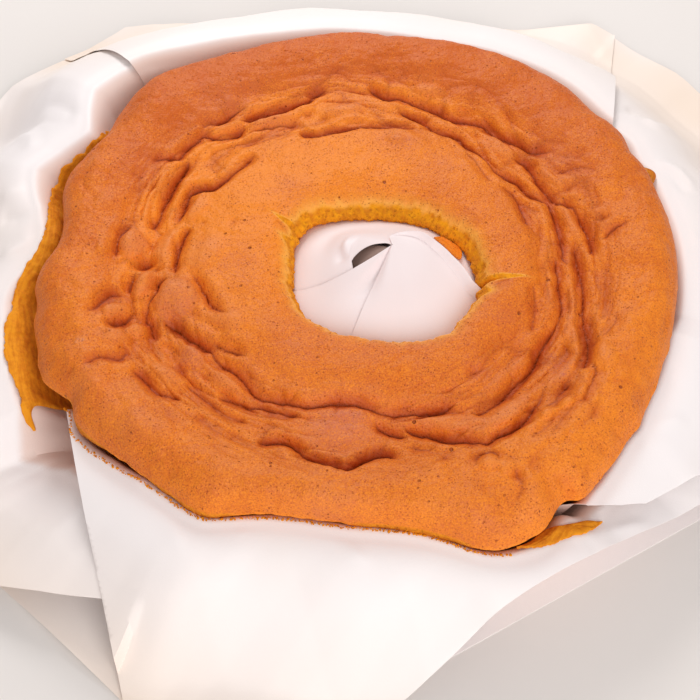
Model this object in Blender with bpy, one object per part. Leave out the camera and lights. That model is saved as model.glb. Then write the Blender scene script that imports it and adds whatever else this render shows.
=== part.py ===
"""A ring-shaped sponge cake, with the baking paper that it was baked in and lifted out with.

Lengths are in millimetres and azimuths in degrees, counted from +X towards +Y about the ring's
centre. solid() turns them into metres. The cake's front faces -Y, and the table is z = 0.
"""

import bmesh
import bpy
import numpy as np
from mathutils import Matrix

MM = 0.001
SAME_POINT = 0.001
SHARP = 0.7

# The cake: the level of its base, its hole's wall as (distance out from the hole's edge, level), and
# its side as (distance in from the crust's edge, level).
BASE_LEVEL = 4.8
HOLE_CENTRE = np.array([9.0, -7.5])
HOLE_WALL = ((6.0, BASE_LEVEL), (3.0, 26.0), (0.6, 46.0))
SIDE_WALL = ((5.0, 42.0), (26.0, BASE_LEVEL))
INNER_RING_END = 78.0
GROOVE_END = 106.0
CAKE_COLUMNS = 107
INNER_ROWS, GROOVE_ROWS, RIM_ROWS = 6, 11, 8
TIGHTER_AT_EDGES = 1.3
RIM_SMOOTH = 0.12
PLAIN_RADIUS = 140.0

# Azimuth and radius of the crust's outer edge, and the same of the hole's edge about its own centre.
CRUST_EDGE = (
    (5, 140), (17, 141), (31, 144), (37, 142), (48, 145), (62, 144), (76, 141), (92, 143), (106, 141),
    (120, 144), (133, 150), (139, 147), (143.3, 144.3), (147.4, 141), (153.3, 141.2), (161.4, 142.8),
    (164.6, 140.9), (167.2, 138.2), (171.9, 134.9), (177.9, 135.5), (180.3, 137.7), (182.6, 140.6),
    (185, 142.3), (191, 142.2), (193.5, 143.8), (198.9, 144.8), (206.5, 145.4), (208.8, 142.8),
    (210.7, 140.3), (215, 143.2), (220.5, 141.9), (223.7, 140.2), (230.3, 138.6), (235.8, 138.8),
    (241.1, 139.8), (243.8, 139.4), (247.5, 135.4), (253.8, 129.8), (259, 128.3), (267.8, 129.1),
    (273, 130.1), (279.6, 134), (284, 139.7), (288, 146.8), (290.7, 149.6), (293, 150.5), (295.4, 150.3),
    (298.3, 149), (300.3, 146.7), (303, 143.5), (304.3, 143.4), (305.8, 146.1), (307, 146.8),
    (308.4, 145.7), (311, 144.5), (315.3, 142.4), (321.2, 140.4), (323.6, 140.7), (326.7, 139),
    (334.6, 137.7), (349.4, 137.7), (354, 138.4),
)
HOLE_EDGE = (
    (21, 42), (49, 40), (77, 38), (101, 39), (122, 42.5), (138, 46), (150, 45.5), (174, 41), (198, 40),
    (218, 41.5), (250, 40), (280, 40), (303, 45), (319, 44.5), (336, 44.5), (352, 44),
)
# The crumb below the crust stands out past its edge, or back from it, at this level.
LEDGE_LEVEL = 47.0
LEDGE = (
    (20, -2), (140, -2), (200, -2.5), (208, -1), (213, 1.5), (224, 1.5), (236, 0), (250, -1.2), (280, -1.2),
    (290, -1.2), (303, -1.5), (306, -1.5), (310, -2),
)
# Height of the crust, by the share of the way from the hole to the groove, by the radius in the
# groove, and by the share of the way from the groove to the outer edge.
INNER_RING = ((0, 54.0), (0.07, 57.3), (0.18, 59.2), (0.45, 60.3), (0.75, 59.0), (1, 56.0))
GROOVE = ((78, 56.0), (86, 54.4), (93, 53.6), (100, 54.4), (106, 56.4))
RIM = ((0, 56.4), (0.25, 60.0), (0.5, 62.0), (0.72, 61.0), (0.87, 57.6), (0.96, 53.0), (1, 49.0))

# The folds were measured as (azimuth, radius) on a level plane, from a seat 55 degrees above the
# front. A point of the crust below that plane lies further back by SIGHT_RUN for each unit of drop.
MEASURED_LEVEL = 60.0
MEASURED_SHIFT = -7.0
SIGHT_RUN = 0.70
FOLD_FADE = 0.17
FOLD_SHOULDER = 0.4
FOLD_SHOULDER_WIDTHS = 2.4
FOLDS = (
    # depth, width, route
    (4.0, 3.0, ((200, 88), (213, 80), (233, 80), (250, 77), (265, 73), (285, 79), (297, 83))),
    (4.5, 3.0, ((273, 81), (286, 91), (298, 104), (312, 102), (319, 98))),
    (4.0, 2.8, ((297, 90), (320, 88), (342, 88), (350, 85), (363, 88), (385, 86), (408, 82), (438, 90))),
    (4.0, 3.0, ((313, 105), (327, 107), (338, 101), (355, 94), (380, 95), (397, 93))),
    (6.0, 4.0, ((37, 108), (46, 100), (62, 94), (80, 98), (114, 96), (122, 101), (133, 101), (144, 104))),
    (4.0, 3.0, ((27, 78), (36, 74), (55, 80), (72, 83), (86, 81), (105, 78), (134, 77), (149, 82), (168, 84))),
    (5.0, 3.2, ((145, 98), (153, 95), (163, 93), (171, 95), (175, 105), (183, 99), (190, 100))),
    (4.5, 3.2, ((165, 78), (180, 80), (188, 88), (198, 95), (210, 92))),
    (4.0, 3.2, ((183, 75), (190, 70), (202, 66), (207, 63))),
    (4.0, 3.0, ((210, 110), (221, 103), (234, 104), (243, 101), (251, 97), (265, 102), (277, 98))),
    (2.5, 3.0, ((222, 97), (232, 95), (240, 87), (247, 86))),
    (2.5, 3.0, ((193, 119), (188, 104), (196, 101), (195, 113))),
    (2.5, 3.0, ((296, 135), (299, 126), (303, 117))),
    (2.5, 3.0, ((10, 119), (8, 110), (6, 102))),
    (2.5, 3.0, ((32, 119), (33, 113), (37, 105))),
)
BUMPS = (
    # azimuth, radius, half length around, half length outwards, height
    (191, 82, 15, 11, 4.5), (188, 94, 9, 5, 3.0), (172, 101, 9, 6, 3.5), (74, 74, 8, 6, 1.5),
    (90, 92, 14, 5, 2.5), (127, 104, 9, 5, 2.5), (28, 104, 10, 6, 2.0), (306, 96, 14, 5, 2.0),
    (256, 93, 16, 6, 2.0), (215, 101, 12, 5, 2.0), (215, 122, 22, 12, 1.5), (262, 118, 24, 10, 1.5),
)

# The baking paper: its thickness, the room that each layer takes, and the grid of its folds.
PAPER = 0.5
LAYER = 0.9
FOOT = -20.0
LOOSE_FROM, LOOSE_OVER = 4.0, 25.0
SHEET_COLUMNS = 60
SHEET_ROWS = (-44, FOOT, -15, -9, -3, 2, 7, 13, 20, 29, 40, 54, 70, 92)
WALL = ((0, 0), (0.12, 0.05), (0.5, 0.48), (0.85, 0.93), (1, 1))
FLAP = ((0, 1), (0.12, 0.97), (0.35, 0.78), (0.65, 0.36), (0.88, 0.07), (1, 0))
HEMS_LEFT = ((180, 205), (130, 235), (257, 167), (90, 194))
HEMS_FRONT = ((303, 163.5), (270, 192), (194.4, 137), (0, 205))
HEMS_RIGHT = ((0, 205), (248, 77), (274, 125), (285, 140.7), (305.5, 159.7), (50, 235))
HEMS_BACK = ((90, 200), (350.2, 103.5), (130, 235))
HEMS_BASE = ((300, 159.5), (228, 199), (180, 196), (0, 198), (90, 190), (270, 186), (45, 226), (135, 226))
# Each sheet: its first and last azimuth, how far its flap reaches past the lip, the straight hems
# that cut it (azimuth of the outward normal, distance from the ring's centre), and its lip as
# (azimuth, gap from the crust's edge, height). Each lies on those before it.
SHEETS = {
    "lining_left": (114, 240, 70, HEMS_LEFT, (
        (114, 12, 45), (130, 16, 47), (140, 22, 48), (148, 10.5, 48), (154, 15, 47), (159, 18.6, 47), (166, 12, 46),
        (174, 9.3, 45), (181, 13, 44), (191, 16, 42), (199, 14, 40), (205, 13.5, 37), (210, 24, 24),
        (216, 9.5, 24), (224, 7, 30), (240, 7, 32))),
    "lining_front": (210, 348, 62, HEMS_FRONT, (
        (210, 1.5, 41), (216, 2.8, 44), (225, 2.8, 45), (237, 1.3, 46.5), (250, 0.9, 47), (280, 0.9, 47),
        (288, 1, 46.5), (292, 1, 45), (297, 2, 43), (303, 3.5, 40), (309, 4, 34), (320, 4, 26), (348, 4, 26))),
    "lining_right": (300, 414, 60, HEMS_RIGHT, (
        (300, 2, 40), (307, 4, 42), (320, 4, 44), (345, 4, 44), (365, 5, 44), (390, 6, 45), (414, 8, 40))),
    "lining_back": (30, 132, 64, HEMS_BACK, (
        (30, 8, 48), (60, 8, 47), (90, 9, 46), (115, 14, 50), (132, 19, 50))),
}
CRUMPLES = ((20, 74, 2.4), (85, 92, 2.0), (140, 58, 1.6), (310, 49, 1.2))

# The paper cone in the hole: its tip, its outline at the shoulder and down its wall, and its three
# sheets. Each sheet is given its layer and its two borders, as (share of the way down from the tip
# to the shoulder, azimuth about the tip). Between the first two, a slit stays open at the tip.
CONE_TIP = np.array([13.0, -2.0])
CONE_CENTRE = np.array([9.0, -6.5])
CONE_NEST_LEVEL = 20.0
CONE_NEST = 0.022
CONE_PAPER = 0.012
CONE_HEIGHT = 64.0
CONE_SHOULDER_LEVEL = 46.0
CONE_SHOULDER = 0.92
CONE_SHARES = (0.03, 0.2, 0.35, 0.47, 0.62, 0.8, 1.0)
CONE_WALL = ((1.03, 37.0), (1.06, 20.0), (1.07, 2.4))
CONE_PITCH = 12.5
CONE_SHEETS = {
    "cone_back": (0, ((0, 60), (0.3, 60), (0.5, 5), (1, -45)), (
        (0, 180), (0.36, 180), (0.44, 193), (0.47, 213), (1, 213))),
    "cone_left": (1, ((0, 212), (0.42, 207), (0.7, 202), (1, 195)), ((0, 262), (1, 275))),
    "cone_right": (2, ((0, 243), (1, 245)), (
        (0, 453), (0.17, 453), (0.29, 412), (0.47, 380), (0.63, 361), (0.82, 349), (1, 342))),
}

# Crumb that came off with the paper: on the left sheet, and on the front sheet under the crust's
# edge. Each has its azimuths, its net, its thickness, and its outer and inner edges as (azimuth,
# radius).
CLINGS = {
    "crumb_strip": ("lining_left", 143, 207.4, 29, 5, 1.8, (
        (143, 149.5), (147.3, 146.5), (150.5, 146.9), (153, 148.7), (158.4, 151.4), (161.6, 150.3),
        (164.7, 147.7), (171.4, 143.9), (177.1, 145.7), (181.5, 150.7), (187.7, 154), (190.2, 156.2),
        (194.4, 158.1), (203.5, 157.3), (206.6, 158), (207.4, 157)), (
        (143, 147), (147, 138), (161, 138), (167, 133), (175, 130), (180, 133), (186, 137), (195, 138),
        (202.5, 136), (204, 145), (205, 152.5), (207.4, 156))),
    "crumb_smear": ("lining_front", 293.5, 308.4, 10, 4, 1.2, (
        (293.5, 150.4), (295.8, 152.2), (297.7, 153.4), (300.4, 153.5), (303.8, 154.8), (305.6, 155.4),
        (307.2, 155.4), (308.4, 154.6)), (
        (293.5, 149.6), (296, 149), (299, 146.8), (300.4, 147), (301.8, 148.3), (304.4, 149.7), (306.1, 150.8),
        (307.9, 153.5), (308.4, 154.2))),
}
CLING_ROOM = 1.7

# A scrap of crust that lies on the cone: its azimuths about the tip, and its shares of the way down.
SCRAP_SPAN = (5, 32)
SCRAP_SHARES = (0.66, 0.75, 0.84)
SCRAP_LAYER = 1.0
SCRAP_THICKNESS = 0.02

COLOURS = {
    "crust": ((0.76, 0.21, 0.045), 0.55),
    "crumb": ((0.70, 0.31, 0.03), 0.85),
    "paper": ((0.86, 0.83, 0.80), 0.6),
}


def curve(knots, at, around=False):
    """A smooth curve through (position, value) knots. One that goes around repeats each 360."""
    x, y = np.array(knots, float).T
    if around:
        x, y = np.concatenate([x - 360, x, x + 360]), np.tile(y, 3)
        at = np.mod(at, 360)
    at = np.clip(at, x[0], x[-1])
    slope = np.gradient(y, x)
    i = np.clip(np.searchsorted(x, at, "right") - 1, 0, len(x) - 2)
    width = x[i + 1] - x[i]
    t = (at - x[i]) / width
    ends = y[i] * (1 + 2 * t) * (1 - t) ** 2 + y[i + 1] * t * t * (3 - 2 * t)
    return ends + width * t * (1 - t) * (slope[i] * (1 - t) - slope[i + 1] * t)


def straight(knots, at):
    return np.interp(at, *np.array(knots, float).T)


def polar(azimuth, radius):
    angle = np.radians(azimuth)
    return np.stack([radius * np.cos(angle), radius * np.sin(angle)], axis=-1)


def crust_edge(azimuth):
    return curve(CRUST_EDGE, azimuth, around=True)


def hole_edge(azimuth):
    return curve(HOLE_EDGE, azimuth, around=True)


def ledge(azimuth):
    return curve(LEDGE, azimuth, around=True)


def crust_level(radius):
    """The plain height of the crust over a round cake, for placing what was measured on a plane."""
    share = (radius - GROOVE_END) / (PLAIN_RADIUS - GROOVE_END)
    outside = np.where(radius > GROOVE_END, curve(RIM, np.clip(share, 0, 1)), curve(GROOVE, radius))
    return np.where(radius < INNER_RING_END, curve(INNER_RING, radius / INNER_RING_END), outside)


def on_crust(azimuth, radius):
    """Plan position of a point that was measured on the level plane."""
    point = polar(azimuth, radius)
    point[..., 1] += MEASURED_SHIFT + SIGHT_RUN * (MEASURED_LEVEL - crust_level(radius))
    return point


def fold_route(route):
    azimuth, radius = np.array(route, float).T
    finer = np.linspace(0, len(route) - 1, 4 * len(route) - 3)
    places = np.arange(len(route))
    azimuth = curve(np.stack([places, azimuth], 1), finer)
    radius = curve(np.stack([places, radius], 1), finer)
    return on_crust(azimuth, radius)


def distance_to(points, route):
    """Distance of each point from a route, and the share of the route's points that lie before it."""
    best = np.full(points.shape[:-1], np.inf)
    share = np.zeros(points.shape[:-1])
    for i, (start, end) in enumerate(zip(route[:-1], route[1:])):
        along = end - start
        t = np.clip(((points - start) @ along) / (along @ along), 0, 1)
        gap = np.linalg.norm(points - start - t[..., None] * along, axis=-1)
        nearer = gap < best
        best = np.where(nearer, gap, best)
        share = np.where(nearer, (i + t) / (len(route) - 1), share)
    return best, share


def relief(points):
    """How far the crust's folds and bumps stand above its plain height."""
    height = np.zeros(points.shape[:-1])
    for depth, width, route in FOLDS:
        gap, share = distance_to(points, fold_route(route))
        fade = np.clip(np.minimum(share, 1 - share) / FOLD_FADE, 0.15, 1)
        shoulder = np.exp(-((gap / width - FOLD_SHOULDER_WIDTHS) ** 2))
        height += depth * fade * (FOLD_SHOULDER * shoulder - np.exp(-((gap / width) ** 2)))
    for azimuth, radius, around, outwards, rise in BUMPS:
        centre = on_crust(np.float64(azimuth), np.float64(radius))
        out = centre / np.linalg.norm(centre)
        away = points - centre
        across = away @ out
        along = away @ np.array([-out[1], out[0]])
        height += rise * np.exp(-((across / outwards) ** 2) - (along / around) ** 2)
    return height


def cake_rows():
    """One function for each row of the cake's skin, from the foot of the hole round to the base."""
    rows = []

    def hole_wall(outwards, level):
        def row(azimuth):
            return HOLE_CENTRE + polar(azimuth, hole_edge(azimuth) + outwards), level
        rows.append(row)

    def inner_ring(share):
        def row(azimuth):
            start = HOLE_CENTRE + polar(azimuth, hole_edge(azimuth))
            place = start + share * (polar(azimuth, INNER_RING_END) - start)
            return place, curve(INNER_RING, share) + relief(place)
        rows.append(row)

    def groove(radius):
        def row(azimuth):
            place = polar(azimuth, np.full_like(azimuth, radius))
            return place, curve(GROOVE, radius) + relief(place)
        rows.append(row)

    def rim(share):
        def row(azimuth):
            place = polar(azimuth, GROOVE_END + share * (crust_edge(azimuth) - GROOVE_END))
            fade = min(1, (1 - share) / RIM_SMOOTH)
            return place, curve(RIM, share) + relief(place) * fade
        rows.append(row)

    def side(inwards, level):
        def row(azimuth):
            return polar(azimuth, crust_edge(azimuth) - inwards), level
        rows.append(row)

    for outwards, level in HOLE_WALL:
        hole_wall(outwards, level)
    for share in np.linspace(0, 1, INNER_ROWS, endpoint=False) ** TIGHTER_AT_EDGES:
        inner_ring(share)
    for radius in np.linspace(INNER_RING_END, GROOVE_END, GROOVE_ROWS, endpoint=False):
        groove(radius)
    for share in 1 - np.linspace(1, 0, RIM_ROWS) ** TIGHTER_AT_EDGES:
        rim(share)
    rows.append(lambda azimuth: (polar(azimuth, crust_edge(azimuth) + ledge(azimuth)), LEDGE_LEVEL))
    for inwards, level in SIDE_WALL:
        side(inwards, level)
    return rows


def solid(name, mesh_edit, material):
    """Turns an edited mesh into a named object, in metres and with triangles alone."""
    bmesh.ops.scale(mesh_edit, vec=(MM, MM, MM), verts=mesh_edit.verts)
    bmesh.ops.triangulate(mesh_edit, faces=mesh_edit.faces)
    bmesh.ops.recalc_face_normals(mesh_edit, faces=mesh_edit.faces)
    mesh = bpy.data.meshes.new(name)
    mesh_edit.to_mesh(mesh)
    mesh_edit.free()
    mesh.shade_smooth()
    mesh.set_sharp_from_angle(angle=SHARP)
    mesh.materials.append(material)
    bpy.context.scene.collection.objects.link(bpy.data.objects.new(name, mesh))


def sponge_cake(material):
    rows = cake_rows()
    edit = bmesh.new()
    marks = edit.verts.layers.int.new("row")
    loop = bmesh.ops.create_circle(edit, segments=len(rows), radius=1)["verts"]
    upright = Matrix.Translation((3, 0, 0)) @ Matrix.Rotation(np.pi / 2, 4, "X")
    bmesh.ops.transform(edit, matrix=upright, verts=loop)
    for i, vert in enumerate(loop):
        vert[marks] = i
    edges = edit.edges[:]
    bmesh.ops.spin(
        edit, geom=loop + edges, cent=(0, 0, 0), axis=(0, 0, 1), angle=2 * np.pi,
        steps=CAKE_COLUMNS, use_merge=True,
    )
    bmesh.ops.remove_doubles(edit, verts=edit.verts, dist=SAME_POINT)
    for i, row in enumerate(rows):
        ring = [vert for vert in edit.verts if vert[marks] == i]
        azimuth = np.degrees([np.arctan2(vert.co.y, vert.co.x) for vert in ring])
        place, level = row(azimuth)
        for vert, (x, y), z in zip(ring, place, np.broadcast_to(level, len(ring))):
            vert.co = (x, y, z)
    solid("sponge_cake", edit, material)


def crumple(points):
    """Flat facets between long soft creases, never below zero."""
    height = np.zeros(points.shape[:-1])
    for azimuth, pitch, rise in CRUMPLES:
        phase = points @ polar(azimuth, 1.0) / pitch
        height += rise * 2 * np.abs(phase - np.floor(phase + 0.5))
    return height


def drape(name, azimuth, out):
    """Height of one sheet, out from the crust's edge: up the cake's side, over its lip and down."""
    first, last, reach, _, lip = SHEETS[name]
    azimuth = np.where(azimuth < first - 3, azimuth + 360, azimuth)
    knots = np.array(lip, float)
    gap = straight(knots[:, :2], azimuth)
    height = straight(knots[:, [0, 2]], azimuth)
    wall = height * curve(WALL, (out - FOOT) / (gap - FOOT))
    flap = height * curve(FLAP, (out - gap) / reach)
    place = polar(azimuth, crust_edge(azimuth) + out)
    loose = np.clip((out - gap - LOOSE_FROM) / LOOSE_OVER, 0, 1)
    return np.where(out < gap, wall, flap + loose * crumple(place))


def sheet_levels(azimuth, out):
    """Each sheet's underside and upright thickness: its own drape, or higher over an earlier one."""
    levels = {}
    below = [np.zeros(np.shape(azimuth))]
    for name, (first, last, *_) in SHEETS.items():
        rise = drape(name, azimuth, out + 1) - drape(name, azimuth, out - 1)
        steeper = np.hypot(1, rise / 2)
        level = np.maximum(drape(name, azimuth, out), np.max(below, axis=0) + LAYER * steeper)
        levels[name] = level, PAPER * steeper
        below.append(np.where(np.mod(azimuth - first, 360) <= last - first, level, 0))
    return levels


def grid(columns, rows):
    """A square net of points, and the column and row of each."""
    edit = bmesh.new()
    bmesh.ops.create_grid(edit, x_segments=columns - 1, y_segments=rows - 1, size=0.5)
    spots = [(round((v.co.x + 0.5) * (columns - 1)), round((v.co.y + 0.5) * (rows - 1))) for v in edit.verts]
    return edit, np.array(spots)


def trim(edit, hems):
    for azimuth, distance in hems:
        outwards = polar(azimuth, 1.0)
        bmesh.ops.bisect_plane(
            edit, geom=edit.verts[:] + edit.edges[:] + edit.faces[:], dist=0.01,
            plane_co=(*(outwards * distance), 0), plane_no=(*outwards, 0), clear_outer=True,
        )


def wrap(name, edit, grow, material):
    """Closes a one-sided surface into a thin solid, with both of its faces split alike."""
    bmesh.ops.triangulate(edit, faces=edit.faces)
    grown = bmesh.ops.extrude_face_region(edit, geom=edit.faces[:], use_keep_orig=True)
    grow([item for item in grown["geom"] if isinstance(item, bmesh.types.BMVert)])
    solid(name, edit, material)


def shape_net(edit, places, levels, rises):
    """Moves a net's points to their places, and notes how far each grows when it gets thickness."""
    marks = edit.verts.layers.float.new("rise")
    for vert, (x, y), z, rise in zip(edit.verts, places, levels, rises):
        vert.co = (x, y, z)
        vert[marks] = rise

    def grow(verts):
        for vert in verts:
            vert.co.z += vert[marks]
    return grow


def lining(name, material):
    first, last, _, hems, _ = SHEETS[name]
    pitch = 360 / SHEET_COLUMNS
    columns = np.arange(np.floor(first / pitch), np.ceil(last / pitch) + 1)
    edit, spots = grid(len(columns), len(SHEET_ROWS))
    azimuth = np.mod(columns[spots[:, 0]] * pitch, 360)
    out = np.array(SHEET_ROWS, float)[spots[:, 1]]
    level, rise = sheet_levels(azimuth, out)[name]
    grow = shape_net(edit, polar(azimuth, crust_edge(azimuth) + out), level, rise)
    bmesh.ops.triangulate(edit, faces=edit.faces, quad_method="FIXED")
    trim(edit, hems)
    wrap(name, edit, grow, material)


def base_sheet(material):
    edit = bmesh.new()
    bmesh.ops.create_grid(edit, x_segments=4, y_segments=4, size=240)
    trim(edit, HEMS_BASE)
    wrap("base_sheet", edit, lambda verts: bmesh.ops.translate(edit, vec=(0, 0, PAPER), verts=verts), material)


def sheet_top(name, azimuth, out):
    """Upper face of a sheet between the folds of its net, and how much steeper than level it is."""
    pitch = 360 / SHEET_COLUMNS
    rows = np.array(SHEET_ROWS, float)
    before = np.floor(azimuth / pitch) * pitch
    row = np.clip(np.searchsorted(rows, out, "right") - 1, 0, len(rows) - 2)
    shares = (azimuth - before) / pitch, (out - rows[row]) / (rows[row + 1] - rows[row])
    top = steeper = 0.0
    for next_column in (0, 1):
        for next_row in (0, 1):
            level, rise = sheet_levels(np.mod(before + next_column * pitch, 360), rows[row + next_row])[name]
            weight = np.abs(1 - next_column - shares[0]) * np.abs(1 - next_row - shares[1])
            top = top + weight * (level + rise)
            steeper = steeper + weight * rise / PAPER
    return top, steeper


def cling(name, material):
    """Crumb that clings to a sheet: a thin band of uneven width, just over the paper."""
    sheet, first, last, columns, rows, thickness, outer, inner = CLINGS[name]
    edit, spots = grid(columns, rows)
    azimuth = first + (last - first) * spots[:, 0] / (columns - 1)
    inwards = spots[:, 1] / (rows - 1)
    radius = curve(outer, azimuth) * (1 - inwards) + curve(inner, azimuth) * inwards
    top, steeper = sheet_top(sheet, azimuth, radius - crust_edge(azimuth))
    middle = 0.4 + 0.6 * np.sin(np.pi * spots[:, 1] / (rows - 1))
    grow = shape_net(edit, polar(azimuth, radius), top + CLING_ROOM * steeper, thickness * middle * steeper)
    wrap(name, edit, grow, material)


def cone_point(azimuth, share, layer):
    """A point of the cone, by azimuth about its tip. Past a share of 1 it runs down the wall."""
    towards = polar(azimuth, 1.0)
    reach = np.full(np.shape(azimuth), 36.0)
    for _ in range(6):
        away = CONE_TIP + reach[..., None] * towards - CONE_CENTRE
        around = np.degrees(np.arctan2(away[..., 1], away[..., 0]))
        reach = reach + CONE_SHOULDER * hole_edge(around) - np.linalg.norm(away, axis=-1)
    shoulder = CONE_TIP + reach[..., None] * towards
    steps = [(1.0, CONE_SHOULDER_LEVEL), *CONE_WALL]
    past = np.maximum(share - 1, 0)
    spread, level = (np.interp(past, range(len(steps)), [step[i] for step in steps]) for i in (0, 1))
    within = np.minimum(share, 1)[..., None]
    place = np.where(
        within < 1, CONE_TIP + within * (shoulder - CONE_TIP),
        CONE_CENTRE + spread[..., None] * (shoulder - CONE_CENTRE),
    )
    drop = (CONE_HEIGHT - CONE_SHOULDER_LEVEL) * within[..., 0] ** 1.2
    height = np.where(share < 1, CONE_HEIGHT - drop, level)
    nest_centre = np.array([*CONE_CENTRE, CONE_NEST_LEVEL])
    point = np.concatenate([place, height[..., None]], axis=-1)
    return nest_centre + (point - nest_centre) * (1 + CONE_NEST * layer)[..., None]


def cone_patch(name, shares, start, end, layer, thickness, material):
    """A thin sheet on the cone, between two borders that may swing as they go down."""
    widest = np.max(straight(end, shares) - straight(start, shares))
    columns = 1 + int(np.ceil(widest / CONE_PITCH))
    edit, spots = grid(columns, len(shares))
    share = np.array(shares)[spots[:, 1]]
    first, last = straight(start, share), straight(end, share)
    azimuth = first + (last - first) * spots[:, 0] / (columns - 1)
    points = cone_point(azimuth, share, np.full(len(share), float(layer)))
    for vert, point in zip(edit.verts, points):
        vert.co = point
    nest_centre = np.array([*CONE_CENTRE, CONE_NEST_LEVEL])

    def grow(verts):
        for vert in verts:
            vert.co = nest_centre + (np.array(vert.co) - nest_centre) * (1 + thickness)
    wrap(name, edit, grow, material)


def cone(crust, paper):
    shares = (*CONE_SHARES, *(2.0 + i for i in range(len(CONE_WALL))))
    for name, (layer, start, end) in CONE_SHEETS.items():
        cone_patch(name, shares, start, end, layer, CONE_PAPER, paper)
    start, end = SCRAP_SPAN
    cone_patch(
        "crust_scrap", SCRAP_SHARES, ((0, start), (1, start)), ((0, end), (1, end)),
        SCRAP_LAYER, SCRAP_THICKNESS, crust,
    )


for old in list(bpy.data.objects):
    bpy.data.objects.remove(old)


def finish(name):
    (red, green, blue), roughness = COLOURS[name]
    material = bpy.data.materials.new(name)
    material.use_nodes = True
    shader = material.node_tree.nodes["Principled BSDF"]
    shader.inputs["Base Color"].default_value = (red, green, blue, 1)
    shader.inputs["Roughness"].default_value = roughness
    return material


crust, crumb, paper = (finish(name) for name in COLOURS)
sponge_cake(crust)
base_sheet(paper)
for sheet in SHEETS:
    lining(sheet, paper)
for piece in CLINGS:
    cling(piece, crumb)
cone(crust, paper)
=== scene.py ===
"""The looks of a ring-shaped sponge cake on the baking paper that it was baked in.

Lengths are in millimetres and azimuths in degrees, counted from +X towards +Y about the ring's
centre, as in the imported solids. finished() turns them into metres. The cake's front faces -Y.
"""

import bmesh
import bpy
import numpy as np
from mathutils import Matrix, Vector


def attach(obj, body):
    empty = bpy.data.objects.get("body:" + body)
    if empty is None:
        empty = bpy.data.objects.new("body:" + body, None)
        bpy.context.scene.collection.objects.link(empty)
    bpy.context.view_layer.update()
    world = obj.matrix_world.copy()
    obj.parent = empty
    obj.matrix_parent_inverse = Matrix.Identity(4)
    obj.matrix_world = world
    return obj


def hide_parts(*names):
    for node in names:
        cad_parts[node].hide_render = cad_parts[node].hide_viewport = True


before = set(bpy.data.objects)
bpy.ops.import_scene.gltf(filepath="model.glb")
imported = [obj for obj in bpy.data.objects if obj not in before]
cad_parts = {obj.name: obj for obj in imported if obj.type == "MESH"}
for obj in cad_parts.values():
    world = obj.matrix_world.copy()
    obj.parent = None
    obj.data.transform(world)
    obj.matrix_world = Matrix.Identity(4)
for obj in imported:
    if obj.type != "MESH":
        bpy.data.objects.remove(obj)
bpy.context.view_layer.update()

MM = 0.001
SAME_POINT = 0.001

# The seat: how far above the level it looks from, what it looks at, and from how far away.
SEAT_ELEVATION = 55.0
SEAT_AIM = (-4.9, -54.0, 60.0)
SEAT_DISTANCE = 602.0
LENS, FILM = 75.0, 36.0
PICTURE = 700

# The cake: the level of its base, its hole's wall as (distance out from the hole's edge, level), and
# its side as (distance in from the crust's edge, level).
BASE_LEVEL = 4.8
HOLE_CENTRE = np.array([9.0, -7.5])
HOLE_WALL = ((6.0, BASE_LEVEL), (3.0, 26.0), (0.6, 43.0), (-0.6, 46.0), (-4.2, 49.5), (-2.6, 52.0))
HOLE_LEAN = (
    (30, 0.9), (90, 1.0), (140, 0.8), (165, 0.5), (180, 0.4), (215, 0.2), (270, 0.1), (320, 0.15),
    (350, 0.6),
)
SIDE_WALL = ((5.0, 42.0), (26.0, BASE_LEVEL))
INNER_RING_END = 78.0
GROOVE_END = 106.0
PLAIN_RADIUS = 140.0
# The skin is three rings, one inside the other, each with its stretches of the skin as (zone, start,
# end, rows).
CAKE_COLUMNS = 1080
WALL_ZONE, RING_ZONE, GROOVE_ZONE, RIM_ZONE, SIDE_ZONE = range(5)
CAKE_RINGS = {
    "sponge_cake_hole": ((WALL_ZONE, 0, 1, 24), (RING_ZONE, 0, 0.82, 46)),
    "sponge_cake_folds": ((RING_ZONE, 0.82, 1, 13), (GROOVE_ZONE, 0, 1, 56), (RIM_ZONE, 0, 0.28, 20)),
    "sponge_cake_rim": ((RIM_ZONE, 0.28, 1, 50), (SIDE_ZONE, 0, 1, 14)),
}
# The last share of the rim, where the relief dies away, and the radii between which it begins.
RIM_SMOOTH = 0.12
RIM_FROM = (98, 112)
# How densely the wall's rows lie at its foot, how far above the base its crumb is rough, and the
# angles beyond which an edge of the cake and of a sheet is sharp.
WALL_SPACING, ROUGH_FROM = 0.75, 0.5
CAKE_SHARP, SHEET_SHARP = 50, 60

# Azimuth and radius of the crust's outer edge, and the same of the hole's edge about its own centre.
CRUST_EDGE = (
    (5, 140), (17, 141), (22, 142), (26, 141), (31, 144), (37, 142), (48, 145), (62, 144), (76, 141),
    (92, 143), (106, 141), (120, 144), (133, 150), (139, 147), (143.3, 144.3), (147.4, 141), (153.3, 141.2),
    (161.4, 142.8), (164.6, 140.9), (167.2, 138.2), (171.9, 134.9), (177.9, 135.5), (180.3, 137.7),
    (182.6, 140.6), (185, 142.3), (191, 142.2), (193.5, 143.8), (198.9, 144.8), (206.5, 145.4),
    (208.8, 142.8), (210.7, 140.3), (215, 143.2), (220.5, 141.9), (223.7, 140.2), (230.3, 138.6),
    (235.8, 138.8), (241.1, 139.8), (243.8, 139.4), (247.5, 135.4), (253.8, 129.8), (259, 128.3),
    (267.8, 129.1), (273, 130.1), (279.6, 134), (284, 139.7), (288, 146.8), (290.7, 149.6), (293, 150.5),
    (295.4, 150.3), (298.3, 149), (300.3, 146.7), (303, 143.5), (304.3, 143.4), (305.8, 146.1),
    (307, 146.8), (308.4, 145.7), (311, 144.5), (315.3, 142.4), (321.2, 140.4), (323.6, 140.7),
    (326.7, 139), (334.6, 137.7), (349.4, 137.7), (354, 138.4),
)
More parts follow.
